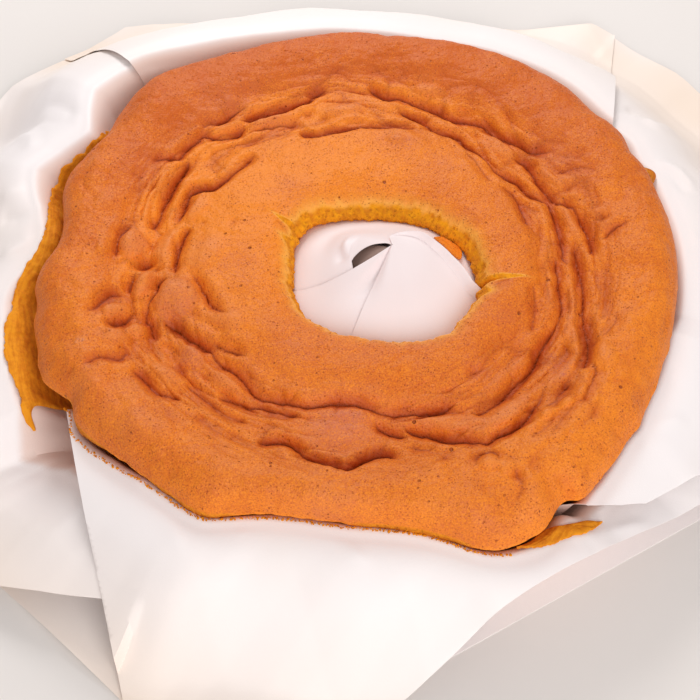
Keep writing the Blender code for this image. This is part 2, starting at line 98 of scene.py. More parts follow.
HOLE_EDGE = (
    (21, 42), (49, 38.5), (77, 35.7), (101, 36.7), (122, 41), (138, 44.9), (150, 44.4), (174, 40.7),
    (198, 40.6), (218, 41.2), (250, 37.9), (280, 38.1), (303, 43.2), (319, 42.9), (336, 43.2), (352, 43.6),
)
# The crumb below the crust stands out past its edge, or back from it, at this level.
LEDGE_LEVEL = 47.0
LEDGE = (
    (12, -4), (19, -2), (20.5, 4.5), (24.5, 5), (26, -2), (60, -2), (140, -2), (200, -2.5), (208, -1),
    (213, 1.2), (219, 1.2), (225, -0.8), (236, 0.6), (246, 0.4), (252, -1.4), (264, -1.6), (270, 0.2),
    (286, 0.3), (289, -1.2), (303, -1.5), (306, -1.5), (310, -4),
)
# Where the crumb stands out less than this, the crust wraps round the edge down to this level.
WRAP_LEDGE = (-0.6, 0.4)
WRAP_LEVELS = (43.0, 46.5)
# The hole's torn edge: its unevenness as (steps round, rise, seed), its tears as (azimuth, length, half
# width in degrees, how far in bare crumb shows) and how pointed they are. Bare crumb shows between
# these distances from the edge, which vary by (rise, pitch, seed). Beyond it the crust is pale.
TORN = ((70, 0.5, 51), (170, 0.35, 52))
TEARS = ((150, 1.0, 1.4, 8), (349, 3.5, 1.5, 13), (160, 1.0, 3.0, 2), (341, 2.0, 4.0, 2))
TEAR_POINT = 1.5
CRUMB_SHOWS = (0.3, 1.8)
CRUMB_EDGE = (0.9, 3.0, 53)
PALE_REACH, PALE_FALL = 2.8, 1.5
# Between these levels, the hole's wall turns browner downwards.
LOW_LEVELS = (46.0, 52.0)
# Height of the crust, by the share of the way from the hole to the groove, by the radius in the
# groove, and by the share of the way from the groove to the outer edge.
INNER_RING = ((0, 54.0), (0.07, 57.3), (0.18, 59.2), (0.45, 60.3), (0.75, 59.0), (1, 56.0))
GROOVE = ((78, 56.0), (86, 54.4), (93, 53.6), (100, 54.4), (106, 56.4))
RIM = ((0, 56.4), (0.25, 60.0), (0.5, 62.0), (0.72, 61.0), (0.87, 57.6), (0.96, 53.0), (1, 49.0))

# The bumps were measured as (azimuth, radius) on a level plane, from the seat. A point of the crust
# below that plane lies further back by SIGHT_RUN for each unit of drop.
MEASURED_LEVEL = 60.0
MEASURED_SHIFT = -7.0
SIGHT_RUN = 0.70
SIGHT_STEPS = 6
BUMP_SHARE = 0.6
BUMPS = (
    # azimuth, radius, half length around, half length outwards, height
    (191, 82, 15, 11, 4.5), (188, 94, 9, 5, 3.0), (172, 101, 9, 6, 3.5), (74, 74, 8, 6, 1.5),
    (90, 92, 14, 5, 2.5), (127, 104, 9, 5, 2.5), (28, 104, 10, 6, 2.0), (306, 96, 14, 5, 2.0),
    (256, 93, 16, 6, 2.0), (215, 101, 12, 5, 2.0), (215, 122, 22, 12, 1.5), (262, 118, 24, 10, 1.5),
)

# The baking paper: its thickness, the room that each layer takes, how far in from the crust's edge its
# wall stands, from where past the lip and over how far it comes loose, how far before its first
# azimuth its lip is still looked up, and its net.
PAPER = 0.25
LAYER = 0.9
FOOT = -20.0
LOOSE_FROM, LOOSE_OVER = 4.0, 25.0
LIP_MARGIN = 3.0
SHEET_STEP = 0.6
SHEET_OUT = (-44.0, 92.0)
SHEET_PITCH = 1.3
WALL = ((0, 0), (0.12, 0.05), (0.5, 0.48), (0.85, 0.94), (1, 1))
FLAP = ((0, 1), (0.12, 0.97), (0.35, 0.79), (0.65, 0.36), (0.88, 0.07), (1, 0))
HEMS_LEFT = ((180, 205), (130, 235), (257, 167), (90, 194))
HEMS_FRONT = ((303, 163.5), (270, 192), (194.4, 137), (0, 205))
HEMS_RIGHT = ((0, 205), (248, 77), (274, 125), (285, 140.7), (305.5, 159.7), (50, 235))
HEMS_BACK = ((90, 200), (350.2, 103.5), (130, 235))
HEMS_BASE = ((300, 159.5), (228, 199), (180, 196), (0, 198), (90, 190), (270, 186), (45, 226), (135, 226))
# Each sheet: its first and last azimuth, how far its flap reaches past the lip, the straight hems
# that cut it (azimuth of the outward normal, distance from the ring's centre), and its lip as
# (azimuth, gap from the crust's edge, height). Each lies on those before it.
SHEETS = {
    "lining_left": (114, 240, 70, HEMS_LEFT, (
        (114, 12, 45), (130, 16, 47), (140, 22, 48), (148, 10.5, 48), (154, 15, 47), (159, 18.6, 47),
        (166, 12, 46), (174, 9.3, 45), (181, 13, 44), (191, 16, 42), (199, 14, 40), (205, 13.5, 36),
        (207.6, 20, 26), (209.5, 26, 17), (212.4, 18.6, 17), (215.3, 9, 20), (224, 7, 30), (240, 7, 32))),
    "lining_front": (210, 348, 62, HEMS_FRONT, (
        (210, 1.5, 41), (216, 2.8, 44), (226, 2.6, 45.5), (231, 1.2, 46.5), (250, 0.9, 47), (280, 0.9, 47),
        (288, 1, 46.5), (292, 1, 45), (297, 2, 43), (303, 3.5, 40), (309, 4, 34), (320, 4, 26),
        (348, 4, 26))),
    "lining_right": (300, 414, 60, HEMS_RIGHT, (
        (300, 1.5, 43), (307, 1, 46), (320, 0.8, 47), (345, 0.8, 47), (350, 3.5, 44), (365, 5, 44),
        (390, 6, 45), (414, 8, 40))),
    "lining_back": (30, 132, 64, HEMS_BACK, (
        (30, 8, 48), (60, 8, 47), (90, 9, 46), (115, 14, 50), (132, 19, 50))),
}
# From how far inside a sheet's lip to how far outside it the paper is tinted: the cake's stain, with
# painted shade and painted reflection of the cake on the wall that faces it.
STAIN_AND_SHADE_REACH = (-4.0, 1.0)
# The base sheet's net, as (squares along a side, half its side), and where the sheet rises, as
# (x, y, radius, rise).
BASE_NET = (60, 240)
BASE_RISES = ((-128, -158, 30, 4.0),)
# Folds pressed into the paper, as (rise, half width, level, then x and y of each pixel of its route).
FOLDS = (
    (2.6, 7, 34, 622, 127, 640, 123, 655, 130, 668, 124, 690, 118),
    (-2.4, 8, 38, 624, 105, 636, 112, 650, 120),
    (2.2, 6, 38, 645, 180, 655, 175, 665, 173, 678, 177, 688, 188, 695, 200),
    (-1.8, 7, 38, 652, 192, 664, 186, 676, 192, 684, 204),
    (1.6, 5, 36, 684, 243, 698, 255),
    (-2.0, 8, 36, 0, 226, 20, 229, 40, 226),
    (2.0, 7, 36, 0, 262, 15, 262, 28, 257, 42, 243),
    (1.4, 7, 38, 0, 205, 20, 203, 38, 200),
    (-1.8, 8, 42, 40, 92, 62, 108, 84, 126),
    (1.6, 7, 40, 10, 120, 30, 140, 34, 160),
    (1.0, 4, 30, 106, 500, 110, 482, 112, 468, 126, 471),
    (1.0, 5, 24, 228, 528, 238, 548, 252, 563),
    (1.6, 4, 16, 14, 430, 17, 448, 20, 462),
    (1.4, 5, 16, 0, 457, 20, 462, 45, 470, 72, 473),
    (1.2, 5, 42, 640, 432, 658, 428, 690, 420),
    (1.0, 5, 30, 540, 548, 580, 545, 620, 530, 660, 516),
    (0.9, 6, 26, 300, 545, 340, 560, 372, 590),
    (0.8, 6, 24, 150, 520, 175, 545, 190, 580),
)
# Over which share of its length a fold fades at its ends, how sharp it is, and how soon it begins
# past the lip. Then the sheets' facets, as (azimuth across them, pitch, rise).
FOLD_FADE, FOLD_HOLLOW, FOLD_START = 0.25, 1.4, 3.0
CRUMPLES = ((20, 74, 2.4), (85, 92, 2.0), (140, 58, 1.6), (310, 49, 1.2))

# The paper cone in the hole: its tip, the point that its layers nest about and by what share each
# does, its outline at the shoulder and down its wall, how its outline is found, and its three sheets.
# Each is given its layer and its two borders, as (share of the way down from the tip to the shoulder,
# azimuth about the tip). Between the first two, a slit stays open at the tip.
CONE_TIP = np.array([13.0, -2.0])
CONE_CENTRE = np.array([9.0, -6.5])
CONE_NEST_CENTRE = np.array([*CONE_CENTRE, 20.0])
CONE_NEST = 0.022
CONE_PAPER = 0.006
CONE_HEIGHT = 64.0
CONE_SHOULDER_LEVEL = 46.0
CONE_SHOULDER = 0.965
CONE_SHARPNESS = 1.2
CONE_REACH, CONE_REACH_STEPS = 36.0, 6
CONE_START, CONE_ROWS = 0.01, 44
CONE_WALL = ((1.03, 37.0), (1.06, 20.0), (1.07, 2.4))
CONE_WALL_ROWS = 5
CONE_PITCH = 1.6
CONE_SHEETS = {
    "cone_back": (0, ((0, 60), (0.3, 60), (0.5, 5), (1, -45)), (
        (0, 100), (0.04, 125), (0.11, 152), (0.32, 178), (0.4, 190), (0.42, 213), (1, 226))),
    "cone_left": (1, ((0, 212), (0.42, 207), (0.7, 202), (1, 195)), ((0, 262), (1, 275))),
    "cone_right": (2, ((0, 243), (1, 245)), (
        (0, 459), (0.2, 459), (0.33, 406), (0.45, 375), (0.61, 357), (0.82, 342), (1, 338))),
}

# Crumb that came off with the paper: on the left sheet, and on the front sheet under the crust's
# edge. Each has its azimuths, its net, its thickness, and its outer and inner edges as (azimuth,
# radius).
CLINGS = {
    "crumb_strip": ("lining_left", 143, 207.4, 330, 48, 1.5, (
        (143, 149.5), (147.3, 146.5), (150.5, 146.9), (153, 148.7), (158.4, 151.4), (161.6, 150.3),
        (164.7, 147.7), (171.4, 143.9), (177.1, 145.7), (181.5, 150.7), (187.7, 154), (190.2, 156.2),
        (194.4, 158.1), (203.5, 157.3), (206.6, 158), (207.4, 157)), (
        (143, 147), (147, 138), (161, 138), (167, 133), (175, 130), (180, 133), (186, 137), (195, 138),
        (202.5, 136), (204, 145), (205, 152.5), (207.4, 156))),
    "crumb_smear": ("lining_front", 293.5, 308.4, 110, 40, 1.2, (
        (293.5, 150.4), (295.8, 152.2), (297.7, 153.4), (300.4, 153.5), (303.8, 154.8), (305.6, 155.4),
        (307.2, 155.4), (308.4, 154.6)), (
        (293.5, 149.6), (296, 149), (299, 146.8), (300.4, 147), (301.8, 148.3), (304.4, 149.7),
        (306.1, 150.8), (307.9, 153.5), (308.4, 154.2))),
}
# How far above the paper the crumb lies, what share of its thickness its borders keep, and how ragged
# and lumpy it is.
CLING_ROOM = 0.9
CLING_EDGE = 0.35
CLING_RAGGED = ((3.0, 0.5, 33), (1.2, 0.4, 34))
CLING_LUMPS = ((5.0, 0.3, 31), (2.0, 0.15, 32))

# Loose crumbs: how many, their azimuths, how far out from the front sheet's lip they lie, their radii
# and a seed. Then how far each strays from its even place, the least share of its radius that it
# keeps, how high it sits, and how lumpy it is, with a seed.
CRUMBS = (430, 210.0, 292.0, -0.6, 0.6, 0.2, 0.55, 44)
CRUMB_STRAYS, CRUMB_LEAST, CRUMB_SITS = 0.3, 0.6, 0.6
CRUMB_LUMPY, CRUMB_SEED = 0.35, 62

# A dark sheet further in, painted shade that stands for the cone's dark inside through the slit: its
# layer, borders, and its net's first and last share of the way down and rows.
CONE_SLIT_SHADE = (-4.0, ((0, 150), (1, 150)), ((0, 300), (1, 300)), (0.02, 0.75, 16))

# A flake of crust that lies on the cone: its borders as (share of the way down, azimuth about the
# tip), its net's first and last share and rows, its layer, and its thickness.
SCRAP_START = ((0.68, 26), (0.7, 16), (0.74, 7), (0.81, 5), (0.88, 15))
SCRAP_END = ((0.68, 34), (0.8, 34), (0.84, 28), (0.88, 21))
SCRAP_SHARES = (0.68, 0.88, 12)
SCRAP_LAYER, SCRAP_THICKNESS = 1.0, 0.02
# The cone's dents and ridges, as (azimuth about the tip, share, half widths, layers up). Then the
# sheet whose last border lifts, from which share of its width and how far, and the shares between
# which that lift and the sheets' layers grow from what they are at the tip.
CONE_DENTS = (
    (238, 0.34, 12, 0.25, -4.2), (163, 0.46, 13, 0.04, 1.5), (181, 0.5, 7, 0.05, -1.0),
    (150, 0.7, 22, 0.12, -1.6), (205, 0.8, 20, 0.2, -1.0), (300, 0.7, 30, 0.3, -1.2),
    (20, 0.35, 30, 0.15, 0.8), (120, 0.6, 25, 0.2, -1.2),
)
CONE_LIFTED = "cone_right"
CONE_LIFT = (0.94, 3.6)
CONE_TAPER, CONE_LAYERS = (0.18, 0.42), (0.05, 0.42)
CONE_TIP_LAYER = 0.4

# The creases as the picture shows them: how deep each is, then x and y of each pixel of its route,
# which the seat's rays carry onto the crust.
CREASES = (
    # the left side
    (2.6, 156, 338, 153, 333, 150, 322, 146, 320, 147, 310, 150, 300, 156, 290, 160, 280, 174, 275),
    (2.2, 190, 226, 187, 230, 182, 240, 178, 250, 175, 262, 174, 275),
    (2.2, 187, 268, 197, 280, 202, 288, 208, 298, 213, 305, 220, 310, 229, 314),
    (2.0, 210, 340, 220, 347, 235, 352, 250, 358),
    (2.6, 128, 368, 137, 371, 145, 377, 150, 383, 158, 390, 168, 393, 176, 396, 182, 400),
    (1.2, 140, 341, 148, 346, 155, 352),
    (1.8, 183, 383, 190, 387, 200, 395, 210, 402, 220, 410, 230, 416),
    (2.4, 213, 397, 225, 398, 240, 402, 250, 406, 262, 406, 275, 411, 290, 414, 304, 415),
    (2.2, 82, 311, 95, 307, 101, 300, 108, 294, 113, 292, 127, 296),
    (2.0, 101, 320, 110, 322, 120, 321, 127, 318, 133, 313, 137, 307),
    (1.6, 80, 365, 90, 360, 100, 355, 118, 356, 125, 351, 130, 349),
    (0.8, 105, 379, 110, 380, 118, 382),
    (2.2, 138, 270, 130, 283, 129, 295),
    (2.0, 117, 260, 116, 252, 118, 240, 122, 231, 128, 225, 134, 221),
    (0.9, 228, 230, 234, 222, 238, 217),
    (1.6, 133, 267, 141, 268, 150, 264, 158, 262),
    (1.2, 95, 326, 104, 331, 112, 329),
    (1.0, 170, 345, 178, 352, 184, 358),
    (1.2, 92, 300, 98, 293, 106, 288),
    (1.0, 175, 363, 183, 370, 188, 374),
    (0.9, 60, 374, 70, 371, 78, 367),
    # the upper left
    (2.8, 148, 228, 155, 222, 160, 214, 162, 205, 167, 197, 172, 190, 177, 182, 183, 173, 187, 166,
     190, 158),
    (2.6, 177, 225, 180, 215, 184, 207, 187, 200, 190, 193, 197, 189, 205, 187, 213, 187, 220, 183,
     228, 178, 235, 172, 243, 165, 250, 158, 257, 153),
    (1.0, 238, 171, 247, 166, 257, 158),
    (1.4, 195, 225, 203, 222, 208, 219),
    (2.4, 150, 157, 158, 156, 170, 156, 178, 157, 183, 150, 190, 143, 198, 138, 203, 133, 215, 136,
     225, 136, 233, 134, 240, 131, 246, 126),
    (2.0, 200, 130, 204, 124, 213, 121, 222, 118, 230, 113, 240, 110, 250, 108),
    (3.0, 237, 121, 250, 118, 262, 115, 270, 113, 280, 110, 290, 107, 300, 103, 308, 101, 312, 96, 320, 91,
     330, 87),
    (1.4, 252, 133, 262, 129, 275, 126, 290, 125, 300, 121),
    (1.0, 238, 147, 250, 143, 262, 138, 275, 134, 296, 131),
    (0.9, 300, 113, 309, 115, 318, 112),
    (0.8, 272, 216, 284, 223, 296, 236),
    (0.9, 486, 289, 502, 284, 520, 280),
    # along the back and the back right
    (2.6, 297, 132, 305, 133, 318, 134, 325, 132, 335, 130, 345, 128, 355, 127, 362, 126, 375, 126,
     388, 126, 400, 127, 410, 128, 420, 131),
    (2.8, 366, 88, 376, 92, 385, 97, 400, 98, 420, 106, 440, 112, 447, 117, 465, 120, 483, 123, 490, 129,
     497, 135, 515, 141, 525, 147, 533, 150, 560, 150),
    (2.6, 398, 112, 406, 114, 420, 119, 430, 127, 440, 132, 457, 135, 465, 143, 475, 150, 485, 158,
     492, 166, 500, 172, 520, 181, 523, 187, 530, 192, 547, 202, 551, 210, 555, 218, 558, 228, 561, 240,
     563, 250, 563, 257, 570, 268),
    (2.6, 511, 157, 520, 160, 525, 163, 532, 170, 536, 178, 543, 187, 550, 195, 557, 202, 572, 206,
     578, 214, 582, 222, 587, 230, 590, 240, 592, 250, 589, 258),
    (1.8, 498, 184, 510, 190, 516, 196, 520, 203, 523, 212, 527, 220, 533, 228),
    (1.6, 462, 150, 470, 156, 476, 162, 480, 168, 487, 177, 492, 183),
    (1.2, 590, 215, 600, 216, 607, 222),
    (1.6, 592, 238, 600, 239, 607, 236, 612, 230, 617, 226, 625, 222, 634, 220),
    (1.4, 548, 174, 562, 171, 575, 167, 590, 168, 600, 172),
    (1.0, 552, 152, 566, 156, 578, 156, 592, 152),
    (0.8, 556, 190, 570, 188, 585, 187),
    # the right side
    (2.5, 556, 255, 556, 265, 558, 275, 559, 285, 561, 295, 562, 305, 560, 315, 556, 325, 550, 334,
     543, 345, 538, 355, 533, 365, 529, 371, 520, 378, 512, 386, 505, 394, 498, 402, 488, 409, 480, 413,
     470, 414),
    (2.4, 573, 240, 576, 255, 578, 265, 581, 277, 583, 290, 584, 303, 583, 313, 585, 325, 588, 333,
     590, 340, 589, 350, 588, 358, 585, 365, 583, 372),
    (1.8, 590, 358, 594, 365, 596, 372, 593, 380, 588, 390, 585, 397, 582, 407),
    (1.6, 575, 380, 568, 386, 560, 392, 556, 400, 548, 405, 540, 408),
    (1.6, 547, 383, 543, 392, 540, 400, 535, 408, 530, 416),
    (1.0, 616, 300, 617, 318, 612, 325, 606, 332, 597, 336),
    (0.8, 620, 284, 630, 280),
    (1.2, 566, 280, 569, 300, 568, 320, 563, 335),
    (1.0, 574, 286, 576, 310, 574, 330),
    (1.0, 545, 260, 547, 285, 549, 305),
    (3.2, 574, 380, 569, 384, 564, 388, 559, 393),
    (1.2, 500, 189, 511, 194, 521, 201, 533, 208, 545, 216),
    (0.9, 520, 206, 523, 218, 531, 227, 541, 238),
    (1.2, 533, 285, 535, 300, 534, 318, 530, 335),
    (0.9, 604, 262, 606, 275, 605, 296, 608, 315),
    (1.0, 557, 408, 553, 418, 547, 427, 538, 433, 524, 437),
    (1.0, 578, 403, 570, 411, 562, 419, 556, 428, 549, 440),
    (0.9, 598, 384, 600, 395, 596, 408, 588, 420, 578, 432),
    (0.8, 532, 452, 531, 462, 524, 470),
    (0.8, 583, 460, 587, 470, 589, 482),
    (0.8, 596, 438, 600, 448, 603, 458),
    (1.0, 500, 452, 512, 455, 517, 463),
    # the front
    (2.9, 160, 321, 175, 324, 182, 330, 190, 338, 200, 342, 210, 350, 217, 360, 230, 367, 240, 375,
     250, 388, 260, 396, 270, 398, 280, 400, 300, 405, 315, 405, 330, 402, 345, 402, 360, 404, 372, 408,
     383, 412, 392, 413, 405, 411, 435, 410, 447, 408, 457, 404),
    (1.6, 250, 433, 260, 434, 268, 433, 275, 436),
    (3.4, 255, 441, 265, 442, 280, 441, 290, 443, 297, 448, 305, 454, 320, 460, 332, 463, 345, 466,
     355, 463, 365, 458, 375, 454, 385, 453, 392, 455, 398, 461),
    (2.6, 373, 418, 378, 426, 388, 430, 400, 434, 412, 438),
    (3.0, 400, 427, 412, 429, 420, 432, 435, 435, 448, 440, 470, 440, 488, 441, 497, 435, 510, 430,
     520, 424, 528, 417, 533, 410, 538, 402),
    (1.4, 400, 445, 415, 447, 430, 450, 438, 448),
    (1.4, 437, 455, 445, 459, 455, 461),
    (1.8, 477, 467, 476, 460, 479, 455, 485, 451, 492, 450, 498, 453, 500, 460),
    (1.5, 517, 460, 516, 468, 518, 475, 522, 482, 521, 490, 517, 497, 520, 505),
    (0.8, 466, 490, 465, 500),
    (1.0, 168, 410, 178, 415),
    (1.2, 190, 412, 200, 418, 206, 421),
    (1.6, 213, 405, 222, 411, 230, 417, 240, 420, 252, 424),
    (1.2, 463, 378, 470, 376, 478, 371, 483, 367),
    (0.7, 280, 382, 290, 385, 298, 384),
)

# How a crease is cut: shares and reaches of its valley, of the roll down into it and of its sharp
# bottom, the swelling beside it, how it fades at its ends, how many reaches away it still tells, how
# deep a hollow and how high a raised part must be for their painted shade and painted sheen to be
# full, how wide painted shade darkens its bottom and at what depth fully, and how it wanders and
# varies, as (pitch, rise, seed).
CREASE_VALLEY, CREASE_ROLL, CREASE_CUT = (0.6, 3.3), (0.5, 1.3), (0.1, 0.4)
CREASE_SWELL = (0.36, 4.8, 2.6)
CREASE_FADE = (-0.5, 6.0)
CREASE_SIGHT = 3
DEEPEST, PROUDEST = 2.6, 3.0
CREASE_MARK, CREASE_FULL = 0.5, 2.4
CREASE_WANDER = ((2.6, 0.3, 1), (1.1, 0.12, 8))
CREASE_UNEVEN = ((9.0, 0.3, 61),)
# Swellings and, with a fall in place of a rise, hollows: the pixel of each middle, its half length,
# half width, turn and rise.
SWELLS = (
    (176, 299, 10.5, 10.5, 0, 4.8), (144, 286, 9, 4.6, 66, 3.6), (117, 311, 7, 4.8, 14, 3),
    (113, 336, 8.1, 5, 0, 2.4), (137, 330, 5.6, 4.3, 30, 2), (134, 246, 8.4, 7.2, 70, 4.2),
    (228, 320, 10.5, 6.5, -30, 2.4), (206, 252, 12, 9, 65, 2.4), (190, 357, 8.1, 5.6, -30, 2.2),
    (226, 384, 9.9, 4.3, -35, 2), (166, 373, 8.7, 4.3, -40, 1.8), (197, 209, 9, 5, 55, 2.2),
    (163, 247, 12, 4.8, 75, 2.2), (340, 432, 16.1, 8.7, 0, 2.6), (450, 424, 18.6, 5, 3, 2.2),
    (508, 414, 12.4, 5, 40, 2.2), (489, 461, 5.6, 5, 0, 2.4), (548, 414, 4.3, 3.1, 45, 1.4),
    (566, 403, 4.3, 3.1, 45, 1.6), (532, 428, 4.3, 3.1, 20, 1.2), (558, 436, 4.3, 3.1, 40, 0.9),
    (508, 464, 4.3, 5.6, 0, 1.4), (582, 392, 5, 2.5, 65, 1.6), (572, 300, 11.2, 2.5, 90, 1.6),
    (535, 440, 7.4, 5.6, 40, 0.8), (396, 142, 5.6, 3.1, -10, 1.8), (500, 150, 14.9, 4.3, -48, 2.2),
    (575, 228, 12.4, 4.3, 110, 1.8), (600, 212, 5, 3.7, 0, 1.8), (606, 226, 5, 3.7, 30, 1.5),
    (272, 122, 13.6, 3.7, 12, 1.8), (340, 112, 12.4, 5, 5, 2), (430, 92, 8.7, 3.7, -10, 1.8),
    (570, 330, 13.6, 3.7, 95, 1.6), (604, 355, 8.7, 5.6, 100, 1.4), (566, 370, 8.7, 3.7, 60, 1.4),
    (110, 200, 9.9, 6.2, 60, 0.9), (90, 285, 7.4, 7.4, 0, 0.6), (86, 380, 8.7, 5.6, -30, 0.8),
    (235, 470, 13.6, 7.4, -10, 1), (150, 425, 12.4, 7.4, -30, 0.9), (440, 500, 12.4, 7.4, 0, 0.8),
    (530, 500, 7.4, 12.4, 0, 0.8), (330, 505, 12.4, 5, 0, 0.7), (144, 264, 8, 5, 20, -2.6),
    (465, 112, 8.1, 3.1, -15, -3), (352, 122, 9.9, 2.5, 5, -1.6), (530, 163, 5, 3.1, 0, -2),
    (472, 372, 3.7, 2.5, 15, -0.8), (165, 345, 5.6, 3.7, -30, -1.4), (560, 362, 4.3, 3.1, 0, -1),
    (175, 182, 5.6, 3.7, 45, -1.2), (247, 92, 11.2, 5, 20, -1), (100, 140, 7.4, 5, 45, -0.9),
    (232, 402, 8.7, 3.1, -25, -0.9), (380, 424, 3.7, 2.5, -30, -0.8),
)
# How round a swelling and a hollow are, and how soon they take the place of puckers.
SWELL_ROUND, HOLLOW_ROUND, COVER_ROUND = 1.1, 1.6, 0.5
# How strongly the crust is puckered round the cake.
STRENGTH = (
    (0, 0.95), (35, 0.95), (70, 1.0), (110, 1.0), (150, 1.0), (200, 1.0), (245, 0.95), (285, 0.85),
    (312, 1.2), (340, 0.95),
)

# Patterns of chance: the size of the table behind them, and each use as (pitch, rise, seed).
LATTICE = 120
RIM_LUMPS = ((30.0, 1.6, 3), (14.0, 1.0, 9), (7.0, 0.5, 4), (3.0, 0.22, 5), (1.6, 0.08, 18))
RING_LUMPS = ((22.0, 1.1, 6), (9.0, 0.55, 7), (3.5, 0.2, 10), (1.8, 0.07, 19))
# Puckers that run round with the groove, as (steps round, radial pitch, rise, seed), and those that
# run every way over the rim, as (pitch, rise, seed). A power rounds their tops.
PLEATS = ((24, 8.0, 1.7, 11), (44, 4.6, 1.2, 12), (90, 2.4, 0.6, 13))
PLEAT_DRIFT = (18, 30.0, 1.3, 51)
PUCKERS = ((13.0, 1.1, 15), (6.0, 0.8, 16), (2.8, 0.34, 17))
ROUNDED, PLEAT_MIDDLE = 0.6, 0.6
PLEATS_BEGIN, PLEATS_END, PUCKERS_BEGIN = (68, 84), (102, 124), (100, 116)
RIM_CALMER = 0.35
SMOOTHED = 0.75
# How strongly painted shade darkens the creases between the puckers, and the finest ones.
PLEAT_MARK, PUCKER_MARK, FINE_MARK = 0.05, 0.2, 0.3
CRUMB_ROUGH = ((2.6, 0.4, 21), (1.3, 0.35, 22), (0.8, 0.2, 23))
CRUMB_STRETCH = 2.2

# How dark the crust is, by azimuth, round its rim and its inner ring. Then browner spots and dabs of
# flour, as (pixel, radius, strength).
RIM_TONE = (
    (20, 0.7), (60, 1.0), (100, 1.05), (135, 1.0), (165, 0.65), (215, 0.5), (270, 0.45), (330, 0.25),
)
RING_TONE = ((0, 0.55), (60, 0.4), (100, 0.1), (180, 0.15), (230, 0.5), (290, 0.65))
BROWNED = (
    (176, 303, 9, 0.8), (342, 422, 13, 1.2), (134, 240, 7, 0.5), (408, 145, 4, 1.0), (398, 141, 6, 0.5),
    (236, 268, 11, 0.5), (190, 357, 8, 0.8), (272, 125, 11, 0.5), (562, 366, 6, 0.8), (293, 190, 10, 0.5),
    (476, 368, 6, 0.6), (553, 355, 1.6, 1.4), (556, 366, 1.6, 1.4), (563, 362, 1.8, 1.4),
    (563, 375, 1.6, 1.3), (290, 360, 12, 0.4), (448, 165, 10, 0.35), (350, 102, 10, 0.5),
    (440, 220, 8, 0.3), (500, 320, 9, 0.3), (206, 330, 7, 0.3), (120, 420, 12, 0.3), (330, 490, 16, 0.3),
    (475, 515, 14, 0.25), (560, 160, 14, 0.4), (250, 372, 8, 0.4), (150, 170, 12, 0.4), (230, 100, 14, 0.4),
    (610, 90, 12, 0.3),
)
FLOURED = ((80, 341, 1.8, 0.5), (88, 347, 1.8, 0.6), (87, 366, 1.5, 0.3))


def curve(knots, at, around=False):
    """A smooth curve through (position, value) knots. One that goes around repeats each 360."""
    x, y = np.array(knots, float).T
    if around:
        x, y = np.concatenate([x - 360, x, x + 360]), np.tile(y, 3)
        at = np.mod(at, 360)
    at = np.clip(at, x[0], x[-1])
    slope = np.gradient(y, x)
    i = np.clip(np.searchsorted(x, at, "right") - 1, 0, len(x) - 2)
    width = x[i + 1] - x[i]
    t = (at - x[i]) / width
    ends = y[i] * (1 + 2 * t) * (1 - t) ** 2 + y[i + 1] * t * t * (3 - 2 * t)
    return ends + width * t * (1 - t) * (slope[i] * (1 - t) - slope[i + 1] * t)


def straight(knots, at):
    return np.interp(at, *np.array(knots, float).T)


def polar(azimuth, radius):
    angle = np.radians(azimuth)
    return np.stack([radius * np.cos(angle), radius * np.sin(angle)], axis=-1)


def azimuth_of(points):
    return np.mod(np.degrees(np.arctan2(points[..., 1], points[..., 0])), 360)


def soft_step(start, end, at):
    t = np.clip((at - start) / (end - start), 0, 1)
    return t * t * (3 - 2 * t)


def turn_from(where, azimuth):
    """How far round each azimuth lies from one, between -180 and 180."""
    return np.mod(azimuth - where + 180, 360) - 180


def hill(away, width):
    """1 in the middle of a soft round hill of that half width, and 0 far from it."""
    return np.exp(-((away / width) ** 2))


def spread(first, last, index, count):
    """The value at an index among that many, which lie evenly from first to last."""
    return first + (last - first) * index / (count - 1)


def around_by(azimuth, steps, other):
    """Places for lumps(), which go round the cake in that many steps."""
    return np.stack([azimuth / 360 * steps, other], axis=-1)


def lumps(places, seed, steps=LATTICE):
    """Smooth values of chance from -1 to 1, that change over about one unit of the places. The
    first place repeats after that many steps."""
    table = np.random.default_rng(seed).uniform(-1, 1, (steps, LATTICE))
    corner = np.floor(places).astype(int)
    t = places - corner
    t = t * t * (3 - 2 * t)
    value = 0.0
    for i in (0, 1):
        for j in (0, 1):
            weight = np.abs(1 - i - t[..., 0]) * np.abs(1 - j - t[..., 1])
            value = value + weight * table[(corner[..., 0] + i) % steps, (corner[..., 1] + j) % LATTICE]
    return value


def rough(places, layers):
    return sum(rise * lumps(places / pitch, seed) for pitch, rise, seed in layers)


def crust_edge(azimuth):
    return curve(CRUST_EDGE, azimuth, around=True)


def hole_edge(azimuth):
    return curve(HOLE_EDGE, azimuth, around=True)


def ledge(azimuth):
    return curve(LEDGE, azimuth, around=True)


def torn_edge(azimuth):
    """The hole's edge with its unevenness and tears."""
    edge = hole_edge(azimuth)
    for steps, rise, seed in TORN:
        edge = edge + rise * lumps(around_by(azimuth, steps, np.zeros_like(azimuth)), seed, steps)
    for where, length, width, _ in TEARS:
        edge = edge + length * np.exp(-np.abs(turn_from(where, azimuth) / width) ** TEAR_POINT)
    return edge


def crust_level(radius, edge=PLAIN_RADIUS):
    """The plain height of the crust, for placing what was measured from the seat."""
    share = (radius - GROOVE_END) / (edge - GROOVE_END)
    outside = np.where(radius > GROOVE_END, curve(RIM, np.clip(share, 0, 1)), curve(GROOVE, radius))
    return np.where(radius < INNER_RING_END, curve(INNER_RING, radius / INNER_RING_END), outside)


def on_crust(azimuth, radius):
    """Plan position of a point that was measured on the level plane."""
    point = polar(azimuth, radius)
    point[..., 1] += MEASURED_SHIFT + SIGHT_RUN * (MEASURED_LEVEL - crust_level(radius))
    return point


